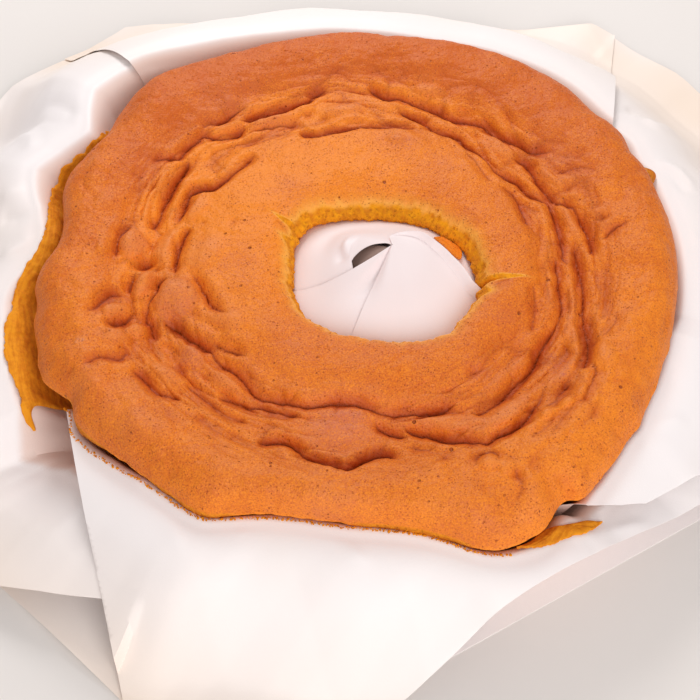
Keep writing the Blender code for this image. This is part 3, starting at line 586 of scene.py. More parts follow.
def seen(pixels, surface=None):
    """Plan position of what the picture shows at those pixels, on a surface: the level at each place
    of it. The plain crust, where none is given."""
    angle = np.radians(SEAT_ELEVATION)
    ahead = np.array([0, np.cos(angle), -np.sin(angle)])
    up = np.array([0, np.sin(angle), np.cos(angle)])
    seat = SEAT_AIM - SEAT_DISTANCE * ahead
    across, lower = (np.array(pixels, float) - PICTURE / 2).T[..., None] * FILM / LENS / PICTURE
    ray = ahead + across * np.array([1, 0, 0]) - lower * up
    level = np.full(len(pixels), MEASURED_LEVEL)
    for _ in range(SIGHT_STEPS):
        place = (seat + ray * ((level - seat[2]) / ray[:, 2])[:, None])[:, :2]
        level = (surface or plain_crust)(place)
    return place


def plain_crust(points):
    return crust_level(np.linalg.norm(points, axis=-1), crust_edge(azimuth_of(points)))


def bumpy_crust(points):
    return plain_crust(points) + broad_relief(points)[0]


def seen_route(numbers):
    """A smooth route over the crust through those pixels."""
    pixels = np.reshape(numbers, (-1, 2))
    places = np.arange(len(pixels))
    finer = np.linspace(0, places[-1], 3 * places[-1] + 1)
    smooth = [curve(np.stack([places, value], 1), finer) for value in pixels.T]
    return seen(np.stack(smooth, axis=-1), bumpy_crust)


def distance_to(points, route):
    """Distance of each point from a route, and the share of the route's points that lie before it."""
    best = np.full(points.shape[:-1], np.inf)
    share = np.zeros(points.shape[:-1])
    for i, (start, end) in enumerate(zip(route[:-1], route[1:])):
        along = end - start
        t = np.clip(((points - start) @ along) / (along @ along), 0, 1)
        gap = np.linalg.norm(points - start - t[..., None] * along, axis=-1)
        nearer = gap < best
        best = np.where(nearer, gap, best)
        share = np.where(nearer, (i + t) / (len(route) - 1), share)
    return best, share


def near(points, route, reach):
    return ((points > route.min(0) - reach) & (points < route.max(0) + reach)).all(axis=-1)


def spots(points, table):
    """Soft round spots, the strongest at each point."""
    found = np.zeros(len(points))
    places = seen([spot[:2] for spot in table], bumpy_crust)
    for place, (_, _, radius, strength) in zip(places, table):
        found = np.maximum(found, strength * hill(np.linalg.norm(points - place, axis=-1), radius))
    return found


def broad_relief(points):
    """How far the crust's broad bumps stand above its plain height, and how much of each point's
    place a swelling takes."""
    height, cover = np.zeros((2, len(points)))
    for azimuth, radius, around, outwards, rise in BUMPS:
        centre = on_crust(np.float64(azimuth), np.float64(radius))
        out = centre / np.linalg.norm(centre)
        away = points - centre
        across = away @ out
        along = away @ np.array([-out[1], out[0]])
        height += BUMP_SHARE * rise * np.exp(-((across / outwards) ** 2) - (along / around) ** 2)
    for centre, (_, _, length, width, turn, rise) in zip(seen([swell[:2] for swell in SWELLS]), SWELLS):
        away = points - centre
        along, across = away @ polar(turn, 1.0), away @ polar(turn + 90, 1.0)
        inside = np.clip(1 - (along / length) ** 2 - (across / width) ** 2, 0, 1)
        height += rise * inside ** (SWELL_ROUND if rise > 0 else HOLLOW_ROUND)
        cover = np.maximum(cover, inside ** COVER_ROUND)
    return height, cover


def crease_relief(points, routes):
    """The creases: how far the crust sinks towards them, and how near each point is to one."""
    for pitch, reach, seed in CREASE_WANDER:
        points = points + reach * np.stack([lumps(points / pitch, seed + i) for i in (0, 1)], axis=-1)
    uneven = 1 + rough(points, CREASE_UNEVEN)
    sunk, swollen, line = np.zeros((3, len(points)))
    far, at, width = CREASE_SWELL
    for depth, route in routes:
        here = near(points, route, CREASE_SIGHT * CREASE_VALLEY[1])
        gap, share = distance_to(points[here], route)
        length = np.linalg.norm(np.diff(route, axis=0), axis=1).sum()
        fade = soft_step(*CREASE_FADE, np.minimum(share, 1 - share) * length)
        valley = CREASE_VALLEY[0] * hill(gap, CREASE_VALLEY[1])
        roll = CREASE_ROLL[0] * np.exp(-gap / CREASE_ROLL[1])
        cut = CREASE_CUT[0] * hill(gap, CREASE_CUT[1])
        reach = depth * fade * uneven[here]
        sunk[here] = np.minimum(sunk[here], -reach * (valley + roll + cut))
        swollen[here] = np.maximum(swollen[here], reach * far * hill(gap - at, width))
        mark = (reach / CREASE_FULL).clip(0, 1) * hill(gap, CREASE_MARK)
        line[here] = np.maximum(line[here], mark)
    return sunk + swollen, line


def pleats(points, strength):
    """Puckers: rounded, with sharp creases between them. They run round with the groove, and every
    way on the rim. Gives their height, and how near each point is to a crease between them."""
    azimuth = azimuth_of(points)
    radius = np.linalg.norm(points, axis=-1)
    groove = strength * soft_step(*PLEATS_BEGIN, radius) * (1 - soft_step(*PLEATS_END, radius))
    rim = (strength - RIM_CALMER) * soft_step(*PUCKERS_BEGIN, radius)
    steps, pitch, reach, seed = PLEAT_DRIFT
    drift = reach * lumps(around_by(azimuth, steps, radius / pitch), seed, steps)
    height, line = np.zeros((2, len(points)))
    for steps, pitch, rise, seed in PLEATS:
        field = np.abs(lumps(around_by(azimuth, steps, radius / pitch + drift), seed, steps))
        height += rise * groove * (field ** ROUNDED - PLEAT_MIDDLE)
        line = np.maximum(line, rise * groove * np.exp(-field / PLEAT_MARK))
    for pitch, rise, seed in PUCKERS:
        field = np.abs(lumps(points / pitch + drift[:, None] / len(PUCKERS), seed))
        height += rise * rim * (field ** ROUNDED - PLEAT_MIDDLE)
        line = np.maximum(line, PUCKER_MARK * rise * rim * np.exp(-field / PLEAT_MARK))
    return height, line


FOLD_ROUTES = [seen(np.reshape(numbers, (-1, 2)), lambda points, level=level: level)
               for _, _, level, *numbers in FOLDS]


class Rows:
    """The rows of one ring of the cake: where each lies on the skin, and which are feet on the base."""

    def __init__(self, stretches):
        zone, share = [], []
        for i, (kind, start, end, count) in enumerate(stretches):
            last = i == len(stretches) - 1
            steps = np.linspace(start, end, count + last, endpoint=last)
            zone += [kind] * len(steps)
            share += list(steps)
        feet = [-1] * (stretches[-1][0] != SIDE_ZONE) + [0] * (stretches[0][0] != WALL_ZONE)
        self.zone = np.array(zone + [zone[i] for i in feet])
        self.share = np.array(share + [share[i] for i in feet])
        self.foot = np.arange(len(self.zone)) >= len(zone)


def down(knots, share):
    """A point on a wall given as (offset, level) knots, by the share of its length."""
    offset, level = np.array(knots, float).T
    length = np.concatenate([[0], np.cumsum(np.hypot(np.diff(offset), np.diff(level)))])
    return np.interp(share * length[-1], length, offset), np.interp(share * length[-1], length, level)


def skin(azimuth, zone, share):
    """Place and plain level of points of the cake's skin, and how far in from the hole's edge."""
    place = np.zeros((len(zone), 2))
    level = np.zeros(len(zone))
    wall, ring, groove, rim, side = (zone == i for i in range(5))
    edge = torn_edge(azimuth)
    hole = HOLE_CENTRE + polar(azimuth, edge)
    inside = np.zeros(len(zone))

    offset, height = down(HOLE_WALL + ((0, INNER_RING[0][1]),), share[wall] ** WALL_SPACING)
    offset *= np.where(offset < 0, curve(HOLE_LEAN, azimuth[wall], around=True), 1)
    place[wall] = HOLE_CENTRE + polar(azimuth[wall], edge[wall] + offset)
    level[wall] = height

    reach = polar(azimuth[ring], INNER_RING_END) - hole[ring]
    place[ring] = hole[ring] + share[ring][:, None] * reach
    level[ring] = curve(INNER_RING, share[ring])
    inside[ring] = share[ring] * np.linalg.norm(reach, axis=-1)
    inside[groove | rim] = PLAIN_RADIUS

    radius = INNER_RING_END + share[groove] * (GROOVE_END - INNER_RING_END)
    place[groove] = polar(azimuth[groove], radius)
    level[groove] = curve(GROOVE, radius)

    reach = crust_edge(azimuth[rim]) - GROOVE_END
    place[rim] = polar(azimuth[rim], GROOVE_END + share[rim] * reach)
    level[rim] = curve(RIM, share[rim])

    knots = ((0, RIM[-1][1]), (0, LEDGE_LEVEL)) + SIDE_WALL
    offset, height = down(knots, share[side])
    stand = ledge(azimuth[side]) * (1 - soft_step(0, SIDE_WALL[0][0], offset))
    stand *= np.clip((RIM[-1][1] - height) / (RIM[-1][1] - LEDGE_LEVEL), 0, 1)
    place[side] = polar(azimuth[side], crust_edge(azimuth[side]) - offset + stand)
    level[side] = height
    return place, level, inside


def crumple(points):
    """Flat facets between long soft creases, never below zero."""
    height = np.zeros(points.shape[:-1])
    for azimuth, pitch, rise in CRUMPLES:
        phase = points @ polar(azimuth, 1.0) / pitch
        height += rise * 2 * np.abs(phase - np.floor(phase + 0.5))
    return height


def folded(points):
    height = np.zeros(len(points))
    for (rise, width, *_), route in zip(FOLDS, FOLD_ROUTES):
        here = near(points, route, width)
        gap, share = distance_to(points[here], route)
        ends = soft_step(0, FOLD_FADE, np.minimum(share, 1 - share))
        height[here] += rise * ends * np.clip(1 - gap / width, 0, 1) ** FOLD_HOLLOW
    return height


def lip_gap(name, azimuth, value=1):
    """How far out from the crust's edge a sheet's lip lies, or its height with a value of 2."""
    first, _, _, _, lip = SHEETS[name]
    knots = np.array(lip, float)
    return straight(knots[:, [0, value]], np.where(azimuth < first - LIP_MARGIN, azimuth + 360, azimuth))


def drape(name, azimuth, out):
    """Height of one sheet, out from the crust's edge: up the cake's side, over its lip and down."""
    reach = SHEETS[name][2]
    gap, height = lip_gap(name, azimuth), lip_gap(name, azimuth, 2)
    wall = height * curve(WALL, (out - FOOT) / (gap - FOOT))
    flap = height * curve(FLAP, (out - gap) / reach)
    place = polar(azimuth, crust_edge(azimuth) + out)
    loose = np.clip((out - gap - LOOSE_FROM) / LOOSE_OVER, 0, 1)
    flap += loose * crumple(place) + np.minimum(FOLD_START * loose, 1) * folded(place)
    return np.where(out < gap, wall, flap)


def sheet_levels(azimuth, out):
    """Each sheet's underside and upright thickness: its own drape, or higher over an earlier one."""
    levels = {}
    below = [np.zeros(np.shape(azimuth))]
    for name, (first, last, *_) in SHEETS.items():
        rise = drape(name, azimuth, out + 1) - drape(name, azimuth, out - 1)
        steeper = np.hypot(1, rise / 2)
        level = np.maximum(drape(name, azimuth, out), np.max(below, axis=0) + LAYER * steeper)
        levels[name] = level, PAPER * steeper
        below.append(np.where(np.mod(azimuth - first, 360) <= last - first, level, 0))
    return levels


def mesh_of(edit, name):
    mesh = bpy.data.meshes.new(name)
    edit.to_mesh(mesh)
    edit.free()
    return mesh


def points_of(mesh):
    points = np.empty(len(mesh.vertices) * 3)
    mesh.vertices.foreach_get("co", points)
    return points.reshape(-1, 3)


def note(mesh, name, values):
    """Writes one number for each point, which the finishes read."""
    mark = mesh.attributes.new(name, "FLOAT", "POINT")
    mark.data.foreach_set("value", np.asarray(values, np.float32))


def placed(name, data):
    """A new object of the scene, with that name and data."""
    made = bpy.data.objects.new(name, data)
    bpy.context.scene.collection.objects.link(made)
    return made


def finished(mesh, name, finish, node=None, sharp=None):
    """Turns a mesh in millimetres into a piece that rides with the cake, and may stand for a solid."""
    mesh.transform(Matrix.Scale(MM, 4))
    mesh.shade_smooth()
    if sharp:
        mesh.set_sharp_from_angle(angle=np.radians(sharp))
    mesh.materials.append(finish)
    piece = placed(name, mesh)
    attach(piece, "root")
    if node:
        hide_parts(node)


def spun(name, rows):
    """A closed ring with that many rows round its section, and the azimuth and row of each point. The
    rows turn as those of the skin do, so that its faces still look outwards there."""
    edit, net = grid(CAKE_COLUMNS + 1, rows + 1)
    marks = edit.verts.layers.int.new("row")
    column, row = net.T
    section = polar(-360 * row / rows, 1.0)
    plan = polar(360 * column / CAKE_COLUMNS, 3 + section[:, 0])
    for vert, (x, y), z, i in zip(edit.verts, plan, section[:, 1], row % rows):
        vert.co = (x, y, z)
        vert[marks] = i
    bmesh.ops.remove_doubles(edit, verts=edit.verts, dist=SAME_POINT)
    bmesh.ops.recalc_face_normals(edit, faces=edit.faces)
    mesh = mesh_of(edit, name)
    row = np.empty(len(mesh.vertices), int)
    mesh.attributes["row"].data.foreach_get("value", row)
    mesh.attributes.remove(mesh.attributes["row"])
    return mesh, azimuth_of(points_of(mesh)), row


def cake_ring(name, finish, routes):
    rows = Rows(CAKE_RINGS[name])
    mesh, azimuth, row = spun(name, len(rows.zone))
    zone, share, foot = rows.zone[row], rows.share[row], rows.foot[row]
    place, level, inside = skin(azimuth, zone, share)
    crust = (zone == RING_ZONE) | (zone == GROOVE_ZONE) | (zone == RIM_ZONE)
    top = place[crust]
    around = azimuth_of(top)
    strength = curve(STRENGTH, around, around=True)

    sharp, line = crease_relief(top, routes)
    broad, cover = broad_relief(top)
    puckers, fine = pleats(top, strength * (1 - SMOOTHED * cover))
    on_rim = soft_step(*RIM_FROM, np.linalg.norm(top, axis=-1))
    uneven = on_rim * rough(top, RIM_LUMPS) + (1 - on_rim) * rough(top, RING_LUMPS)
    settle = np.where(zone == RIM_ZONE, np.clip((1 - share) / RIM_SMOOTH, 0, 1), 1)[crust]
    level[crust] += settle * (broad + sharp + puckers + uneven)
    level[foot] = BASE_LEVEL

    torn = ~crust & (level > BASE_LEVEL + ROUGH_FROM)
    arc = np.stack([azimuth / 360 * LATTICE * CRUMB_STRETCH, level], axis=-1)
    place[torn] += polar(azimuth[torn], rough(arc[torn], CRUMB_ROUGH))
    mesh.vertices.foreach_set("co", np.column_stack([place, level]).ravel())

    tone = on_rim * curve(RIM_TONE, around, True) + (1 - on_rim) * curve(RING_TONE, around, True)
    rise, pitch, seed = CRUMB_EDGE
    shows = inside + rise * lumps(around_by(azimuth, LATTICE, inside / pitch), seed)
    for where, _, width, length in TEARS:
        shows = shows - length * hill(turn_from(where, azimuth), width)
    pale = np.exp(-(shows.clip(0, None) / PALE_REACH) ** PALE_FALL)
    wraps = soft_step(*WRAP_LEVELS, level) * (1 - soft_step(*WRAP_LEDGE, ledge(azimuth)))
    wraps = wraps * (zone == SIDE_ZONE)
    note(mesh, "crust", np.where(crust, soft_step(*CRUMB_SHOWS, shows), wraps))
    note(mesh, "low", 1 - soft_step(*LOW_LEVELS, level))
    # Painted shade and light: line darkens the creases' bottoms, deep reddens the hollows as their shade
    # and the cake's reflection in them, and proud lays a painted sheen on raised parts.
    marks = {
        "line": np.maximum(line, FINE_MARK * fine.clip(0, 1)),
        "deep": np.clip(-(sharp + puckers + broad / 2) / DEEPEST, 0, 1),
        "proud": np.clip((sharp + puckers + broad) / PROUDEST, 0, 1),
        "tone": tone, "brown": spots(top, BROWNED), "flour": spots(top, FLOURED), "pale": pale[crust],
    }
    for key, values in marks.items():
        whole = np.zeros(len(level))
        whole[crust] = values
        note(mesh, key, whole)
    finished(mesh, name, finish, "sponge_cake", CAKE_SHARP)


def grid(columns, rows):
    """A square net of points, and the column and row of each."""
    edit = bmesh.new()
    bmesh.ops.create_grid(edit, x_segments=columns - 1, y_segments=rows - 1, size=0.5)
    corner = np.array([vert.co.xy for vert in edit.verts]) + 0.5
    return edit, np.round(corner * [columns - 1, rows - 1]).astype(int)


def trim(edit, hems):
    for azimuth, distance in hems:
        outwards = polar(azimuth, 1.0)
        bmesh.ops.bisect_plane(
            edit, geom=edit.verts[:] + edit.edges[:] + edit.faces[:], dist=0.01,
            plane_co=(*(outwards * distance), 0), plane_no=(*outwards, 0), clear_outer=True,
        )


def wrap(edit, grow):
    """Closes a one-sided surface into a thin solid."""
    grown = bmesh.ops.extrude_face_region(edit, geom=edit.faces[:], use_keep_orig=True)
    grow([item for item in grown["geom"] if isinstance(item, bmesh.types.BMVert)])
    bmesh.ops.recalc_face_normals(edit, faces=edit.faces)


def shape_net(edit, places, levels, rises):
    """Moves a net's points to their places, and notes how far each grows when it gets thickness."""
    marks = edit.verts.layers.float.new("rise")
    for vert, (x, y), z, rise in zip(edit.verts, places, levels, rises):
        vert.co = (x, y, z)
        vert[marks] = rise

    def grow(verts):
        for vert in verts:
            vert.co.z += vert[marks]
    return grow


def lining(name, finish):
    first, last, _, hems, _ = SHEETS[name]
    columns = 1 + round((last - first) / SHEET_STEP)
    rows = 1 + round((SHEET_OUT[1] - SHEET_OUT[0]) / SHEET_PITCH)
    edit, net = grid(columns, rows)
    azimuth = np.mod(spread(first, last, net[:, 0], columns), 360)
    out = spread(*SHEET_OUT, net[:, 1], rows)
    level, rise = sheet_levels(azimuth, out)[name]
    grow = shape_net(edit, polar(azimuth, crust_edge(azimuth) + out), level, rise)
    trim(edit, hems)
    wrap(edit, grow)
    mesh = mesh_of(edit, name)
    around = azimuth_of(points_of(mesh))
    past = np.linalg.norm(points_of(mesh)[:, :2], axis=-1) - crust_edge(around) - lip_gap(name, around)
    # The tint of the paper's wall by the cake: its stain, with painted shade and painted reflection.
    note(mesh, "stain_and_shade", 1 - soft_step(*STAIN_AND_SHADE_REACH, past))
    finished(mesh, name + "_sheet", finish, name, SHEET_SHARP)


def base_sheet(finish):
    edit = bmesh.new()
    squares, half = BASE_NET
    bmesh.ops.create_grid(edit, x_segments=squares, y_segments=squares, size=half)
    trim(edit, HEMS_BASE)
    for x, y, radius, rise in BASE_RISES:
        for vert in edit.verts:
            vert.co.z += rise * np.exp(-(((vert.co.x - x) ** 2 + (vert.co.y - y) ** 2) / radius ** 2))
    wrap(edit, lambda verts: bmesh.ops.translate(edit, vec=(0, 0, PAPER), verts=verts))
    mesh = mesh_of(edit, "base_sheet")
    finished(mesh, "base_sheet_paper", finish, "base_sheet", SHEET_SHARP)


def cling(name, finish):
    """Crumb that clings to a sheet: a thin rough band of uneven width."""
    sheet, first, last, columns, rows, thickness, outer, inner = CLINGS[name]
    edit, net = grid(columns, rows)
    azimuth = spread(first, last, net[:, 0], columns)
    share = spread(0, 1, net[:, 1], rows)
    radius = curve(outer, azimuth) * (1 - share) + curve(inner, azimuth) * share
    radius += (1 - share) * rough(polar(azimuth, PLAIN_RADIUS), CLING_RAGGED)
    level, rise = sheet_levels(np.mod(azimuth, 360), radius - crust_edge(azimuth))[sheet]
    steeper = rise / PAPER
    middle = CLING_EDGE + (1 - CLING_EDGE) * np.sqrt(np.clip(4 * share * (1 - share), 0, 1))
    place = polar(azimuth, radius)
    lumpy = 1 + rough(place, CLING_LUMPS)
    grow = shape_net(edit, place, level + rise + CLING_ROOM * steeper, thickness * middle * lumpy * steeper)
    wrap(edit, grow)
    mesh = mesh_of(edit, name)
    points = points_of(mesh)[:, :2]
    note(mesh, "around", azimuth_of(points) / 360 * 2 * np.pi * PLAIN_RADIUS)
    note(mesh, "out", np.linalg.norm(points, axis=-1) - crust_edge(azimuth_of(points)))
    finished(mesh, name + "_rough", finish, name, SHEET_SHARP)


def loose_crumbs(finish):
    """Crumbs that lie on the front sheet along the crust's edge."""
    count, start, end, nearest, furthest, smallest, largest, seed = CRUMBS
    chance = np.random.default_rng(seed)
    azimuth = np.linspace(start, end, count) + chance.uniform(-CRUMB_STRAYS, CRUMB_STRAYS, count)
    out = lip_gap("lining_front", azimuth) + chance.uniform(nearest, furthest, count)
    size = chance.uniform(smallest, largest, count) * chance.uniform(CRUMB_LEAST, 1, count)
    level, rise = sheet_levels(azimuth, out)["lining_front"]
    places = np.column_stack([polar(azimuth, crust_edge(azimuth) + out), level + rise + size * CRUMB_SITS])
    edit = bmesh.new()
    for place, radius in zip(places, size):
        made = bmesh.ops.create_icosphere(edit, subdivisions=2, radius=radius)
        for vert in made["verts"]:
            lump = lumps(np.array(vert.co.xy) / radius + place[:2], CRUMB_SEED)
            vert.co = Vector(place) + vert.co * (1 + CRUMB_LUMPY * lump)
    finished(mesh_of(edit, "loose_crumbs"), "loose_crumbs", finish)


def cone_point(azimuth, share, layer):
    """A point of the cone, by azimuth about its tip. Past a share of 1 it runs down the wall."""
    towards = polar(azimuth, 1.0)
    reach = np.full(np.shape(azimuth), CONE_REACH)
    for _ in range(CONE_REACH_STEPS):
        away = CONE_TIP + reach[..., None] * towards - CONE_CENTRE
        around = np.degrees(np.arctan2(away[..., 1], away[..., 0]))
        reach = reach + CONE_SHOULDER * hole_edge(around) - np.linalg.norm(away, axis=-1)
    shoulder = CONE_TIP + reach[..., None] * towards
    steps = [(1.0, CONE_SHOULDER_LEVEL), *CONE_WALL]
    past = np.maximum(share - 1, 0)
    wider, level = (np.interp(past, range(len(steps)), [step[i] for step in steps]) for i in (0, 1))
    within = np.minimum(share, 1)[..., None]
    place = np.where(
        within < 1, CONE_TIP + within * (shoulder - CONE_TIP),
        CONE_CENTRE + wider[..., None] * (shoulder - CONE_CENTRE),
    )
    drop = (CONE_HEIGHT - CONE_SHOULDER_LEVEL) * within[..., 0] ** CONE_SHARPNESS
    height = np.where(share < 1, CONE_HEIGHT - drop, level)
    point = np.concatenate([place, height[..., None]], axis=-1)
    return CONE_NEST_CENTRE + (point - CONE_NEST_CENTRE) * (1 + CONE_NEST * layer)[..., None]


def cone_dents(azimuth, share):
    layers = np.zeros(len(share))
    for at, middle, around, along, rise in CONE_DENTS:
        layers += rise * hill(turn_from(at, azimuth), around) * hill(share - middle, along)
    return layers


def cone_patch(name, shares, start, end, layer, thickness=CONE_PAPER):
    """A thin sheet on the cone, between two borders that may swing as they go down."""
    widest = np.max(straight(end, shares) - straight(start, shares))
    columns = 1 + int(np.ceil(widest / CONE_PITCH))
    edit, net = grid(columns, len(shares))
    share = np.array(shares)[net[:, 1]]
    azimuth = spread(straight(start, share), straight(end, share), net[:, 0], columns)
    lift_from, lift = CONE_LIFT
    lift = lift * (name == CONE_LIFTED) * soft_step(*CONE_TAPER, share)
    lift = lift * soft_step(lift_from, 1, spread(0, 1, net[:, 0], columns))
    near_tip = CONE_TIP_LAYER + (1 - CONE_TIP_LAYER) * soft_step(*CONE_LAYERS, share)
    points = cone_point(azimuth, share, layer * near_tip + lift + cone_dents(azimuth, share))
    for vert, point in zip(edit.verts, points):
        vert.co = point

    def grow(verts):
        for vert in verts:
            vert.co = CONE_NEST_CENTRE + (np.array(vert.co) - CONE_NEST_CENTRE) * (1 + thickness)
    wrap(edit, grow)
    return mesh_of(edit, name)


def cone(crust, paper, slit_shade):
    down_tip = np.linspace(CONE_START, 1, CONE_ROWS)
    down_wall = 1 + np.linspace(0, len(CONE_WALL), CONE_WALL_ROWS * len(CONE_WALL) + 1)[1:]
    shares = np.concatenate([down_tip, down_wall])
    for name, (layer, start, end) in CONE_SHEETS.items():
        mesh = cone_patch(name, shares, start, end, layer)
        finished(mesh, name + "_sheet", paper, name, SHEET_SHARP)
    # A dark sheet further in, painted shade seen through the slit.
    layer, start, end, rows = CONE_SLIT_SHADE
    mesh = cone_patch("cone_slit_shade", np.linspace(*rows), start, end, layer)
    finished(mesh, "cone_slit_shade_sheet", slit_shade, "cone_back", SHEET_SHARP)
    shares = np.linspace(*SCRAP_SHARES)
    mesh = cone_patch("crust_scrap", shares, SCRAP_START, SCRAP_END, SCRAP_LAYER, SCRAP_THICKNESS)
    note(mesh, "crust", np.ones(len(mesh.vertices)))
    finished(mesh, "crust_scrap_flake", crust, "crust_scrap")


class Value:
    """A number that varies over a surface. Arithmetic on it adds Math nodes to its finish."""

    def __init__(self, finish, socket):
        self.finish, self.socket = finish, socket

    def math(self, operation, *others, clamp=False):
        settings = {"operation": operation, "use_clamp": clamp}
        return self.finish.node("ShaderNodeMath", settings, *others)

    def __add__(self, other):
        return self.math("ADD", self, other)

    def __radd__(self, other):
        return self.math("ADD", other, self)

    def __sub__(self, other):
        return self.math("SUBTRACT", self, other)

    def __rsub__(self, other):
        return self.math("SUBTRACT", other, self)

    def __mul__(self, other):
        return self.math("MULTIPLY", self, other)

    def __rmul__(self, other):
        return self.math("MULTIPLY", other, self)

    def clear(self):
        """The number held between 0 and 1."""
        return self.math("ADD", self, 0.0, clamp=True)

    def step(self, start, end):
        """0 before start and 1 after end, with a smooth rise between them."""
        settings = {"interpolation_type": "SMOOTHSTEP", "clamp": True}
        return self.finish.node("ShaderNodeMapRange", settings, self, start, end, 0.0, 1.0)


class Finish:
    """A material under construction."""

    def __init__(self, name):
        self.material = bpy.data.materials.new(name)
        self.material.use_nodes = True
        self.tree = self.material.node_tree
        self.shader = self.tree.nodes["Principled BSDF"]

    def plug(self, made, inputs):
        """Sets a node's inputs, by their place or their name, and links those that vary."""
        for key, value in inputs.items():
            socket = made.inputs[key if isinstance(key, int) else key.replace("_", " ")]
            if isinstance(value, Value):
                self.tree.links.new(value.socket, socket)
            else:
                socket.default_value = value

    def node(self, kind, settings, *inputs, output=0, **named):
        made = self.tree.nodes.new(kind)
        for key, value in settings.items():
            setattr(made, key, value)
        self.plug(made, {**dict(enumerate(inputs)), **named})
        return Value(self, made.outputs[output])

    def where(self):
        return self.node("ShaderNodeTexCoord", {}, output="Object")

    def marked(self, name):
        return self.node("ShaderNodeAttribute", {"attribute_name": name}, output="Fac")

    def noise(self, scale, detail, roughness, seed):
        return self.node("ShaderNodeTexNoise", {"noise_dimensions": "4D"}, self.where(), W=seed,
                         Scale=scale, Detail=detail, Roughness=roughness, output="Fac")

    def holes(self, scale, size, share):
        """Round pin holes: up to 1 in a hole and 0 outside, in that share of the cells."""
        away = self.node("ShaderNodeTexVoronoi", {}, self.where(), Scale=scale)
        cell = self.node("ShaderNodeTexVoronoi", {}, self.where(), Scale=scale, output=1)
        lot = self.node("ShaderNodeSeparateColor", {}, cell)
        return (1 - away.step(size * HOLE_FLOOR, size)) * lot.step(1 - share, 1 + HOLE_LOTS - share)

    def mix(self, share, first, second):
        made = self.node("ShaderNodeMix", {"data_type": "RGBA", "clamp_factor": True}, share, output=2)
        self.plug(made.socket.node, {6: first, 7: second})
        return made

    def bump(self, height, distance):
        return self.node("ShaderNodeBump", {}, Distance=distance, Height=height)

    def wears(self, **inputs):
        self.plug(self.shader, inputs)
        return self.material


# The curve of a picture's values: its straight part's end and slope, and its offset and power.
KNEE, SLOPE, OFFSET, POWER = 0.04, 12.92, 0.055, 2.4


def colour(red, green, blue):
    """A linear colour from the values that a picture holds, 0 to 255."""
    share = np.array([red, green, blue]) / 255
    curved = ((share + OFFSET) / (1 + OFFSET)) ** POWER
    return (*np.where(share < KNEE, share / SLOPE, curved).tolist(), 1)


GOLD = colour(249, 141, 32)
TAN = colour(212, 102, 28)
# Painted shade and painted reflection of the cake in the creases' hollows, and painted dark lines along
# their bottoms.
CREASE_SHADE_RED = colour(194, 76, 20)
CREASE_SHADE_BROWN = colour(140, 52, 14)
SPOT_BROWN = colour(208, 112, 78)
# A painted pink sheen, laid on raised parts and in patches of the crust.
PAINTED_SHEEN_PINK = colour(234, 142, 88)
PALE_GOLD = colour(255, 178, 74)
PORE_BROWN = colour(170, 70, 24)
FLOUR = colour(226, 186, 170)
CRUMB_GOLD = colour(250, 164, 12)
CRUMB_BROWN = colour(216, 126, 14)
CRUMB_LOW = colour(196, 100, 22)
CLING_GOLD = colour(244, 158, 28)
CLING_BROWN = colour(194, 100, 6)
PAPER_WHITE = colour(254, 248, 248)
PAPER_CREAM = colour(252, 234, 218)
# The cone's paper with painted shade of the hole and painted pink reflection of the cake in it.
CONE_PAPER_SHADED = colour(250, 236, 236)
CONE_PAPER_SHADED_PINK = colour(242, 220, 214)
# The cake's stain on the paper, together with painted shade and painted reflection of the cake.
PAPER_STAIN_AND_SHADE = colour(238, 208, 194)
# Painted shade: the colour of the dark inside of the cone, seen through the slit.
SLIT_SHADE = colour(172, 142, 130)

# The crust's patterns, as (scale, detail, roughness, seed), and how much darker each bakes it.
MOTTLE, PATCHES, BLOTCHES = (48, 3, 0.55, 0), (130, 3, 0.6, 2), (420, 2, 0.5, 8)
GRAIN, STIPPLE, PEEL = (950, 2, 0.6, 3), (1500, 1, 0.5, 9), (330, 3, 0.6, 11)
DARKENS = (0.9, 0.5, 0.35, 0.7, 2.2)
# Pores, as (scale, size, share of the cells that hold one), how brown each kind is and how deep, and
# the patches in which the finest are, with their strength.
PORES = ((85, 0.085, 0.7), (230, 0.14, 0.7), (800, 0.34, 1.0))
PORES_BROWN, PORES_DEEP = (0.9, 0.75, 0.55), (1.6, 0.8, 0.3)
FINE_PORES_IN, FINE_PORES_SHOW = (0.15, 0.75), 1.4
# How far in from its edge a pin hole has its floor, and how many of the holes are faint.
HOLE_FLOOR, HOLE_LOTS = 0.35, 0.35
# How strongly each colour shows, and in which patches. The pink is a painted sheen, and the crease
# red and brown are painted shade.
PINK_IN, PINK_PATCHES, PINK_PROUD, PINK_SHOWS = (0.5, 0.75), 0.2, 0.1, 0.6
BROWN_SPECKS, RED_SHOWS, LINE_SHOWS, PALE_SHOWS = 1.5, 0.85, 0.8, 0.9
FLOUR_IN, FLOUR_GRAINS = (0.4, 0.6), (0.3, 0.7)
# The crumb: its cells as the pores, its cloudiness, and how far cells and lowness colour it.
CELLS, CELLS_BROWN, CELLS_DEEP, LOW_BROWN = (650, 0.45, 0.7), 0.3, 0.7, 0.2
CRUMB_CLOUD, CRUMB_CLOUD_IN = (330, 3, 0.6, 5), (0.3, 0.7)
# How high the crust's peel and grain stand, how rough crumb is and how much less so crust, how far
# the relief of each finish reaches in metres, and how the light plays on crust and crumb.
PEEL_HIGH, GRAIN_HIGH = 1.5, 0.8
CRUMB_MATT, CRUST_SMOOTHER, PAPER_MATT, FLOOR_MATT = 0.85, 0.33, 0.5, 0.9
CAKE_RELIEF, CLING_RELIEF, PAPER_RELIEF = 0.0005, 0.0004, 0.00005
SHEEN = 0.3
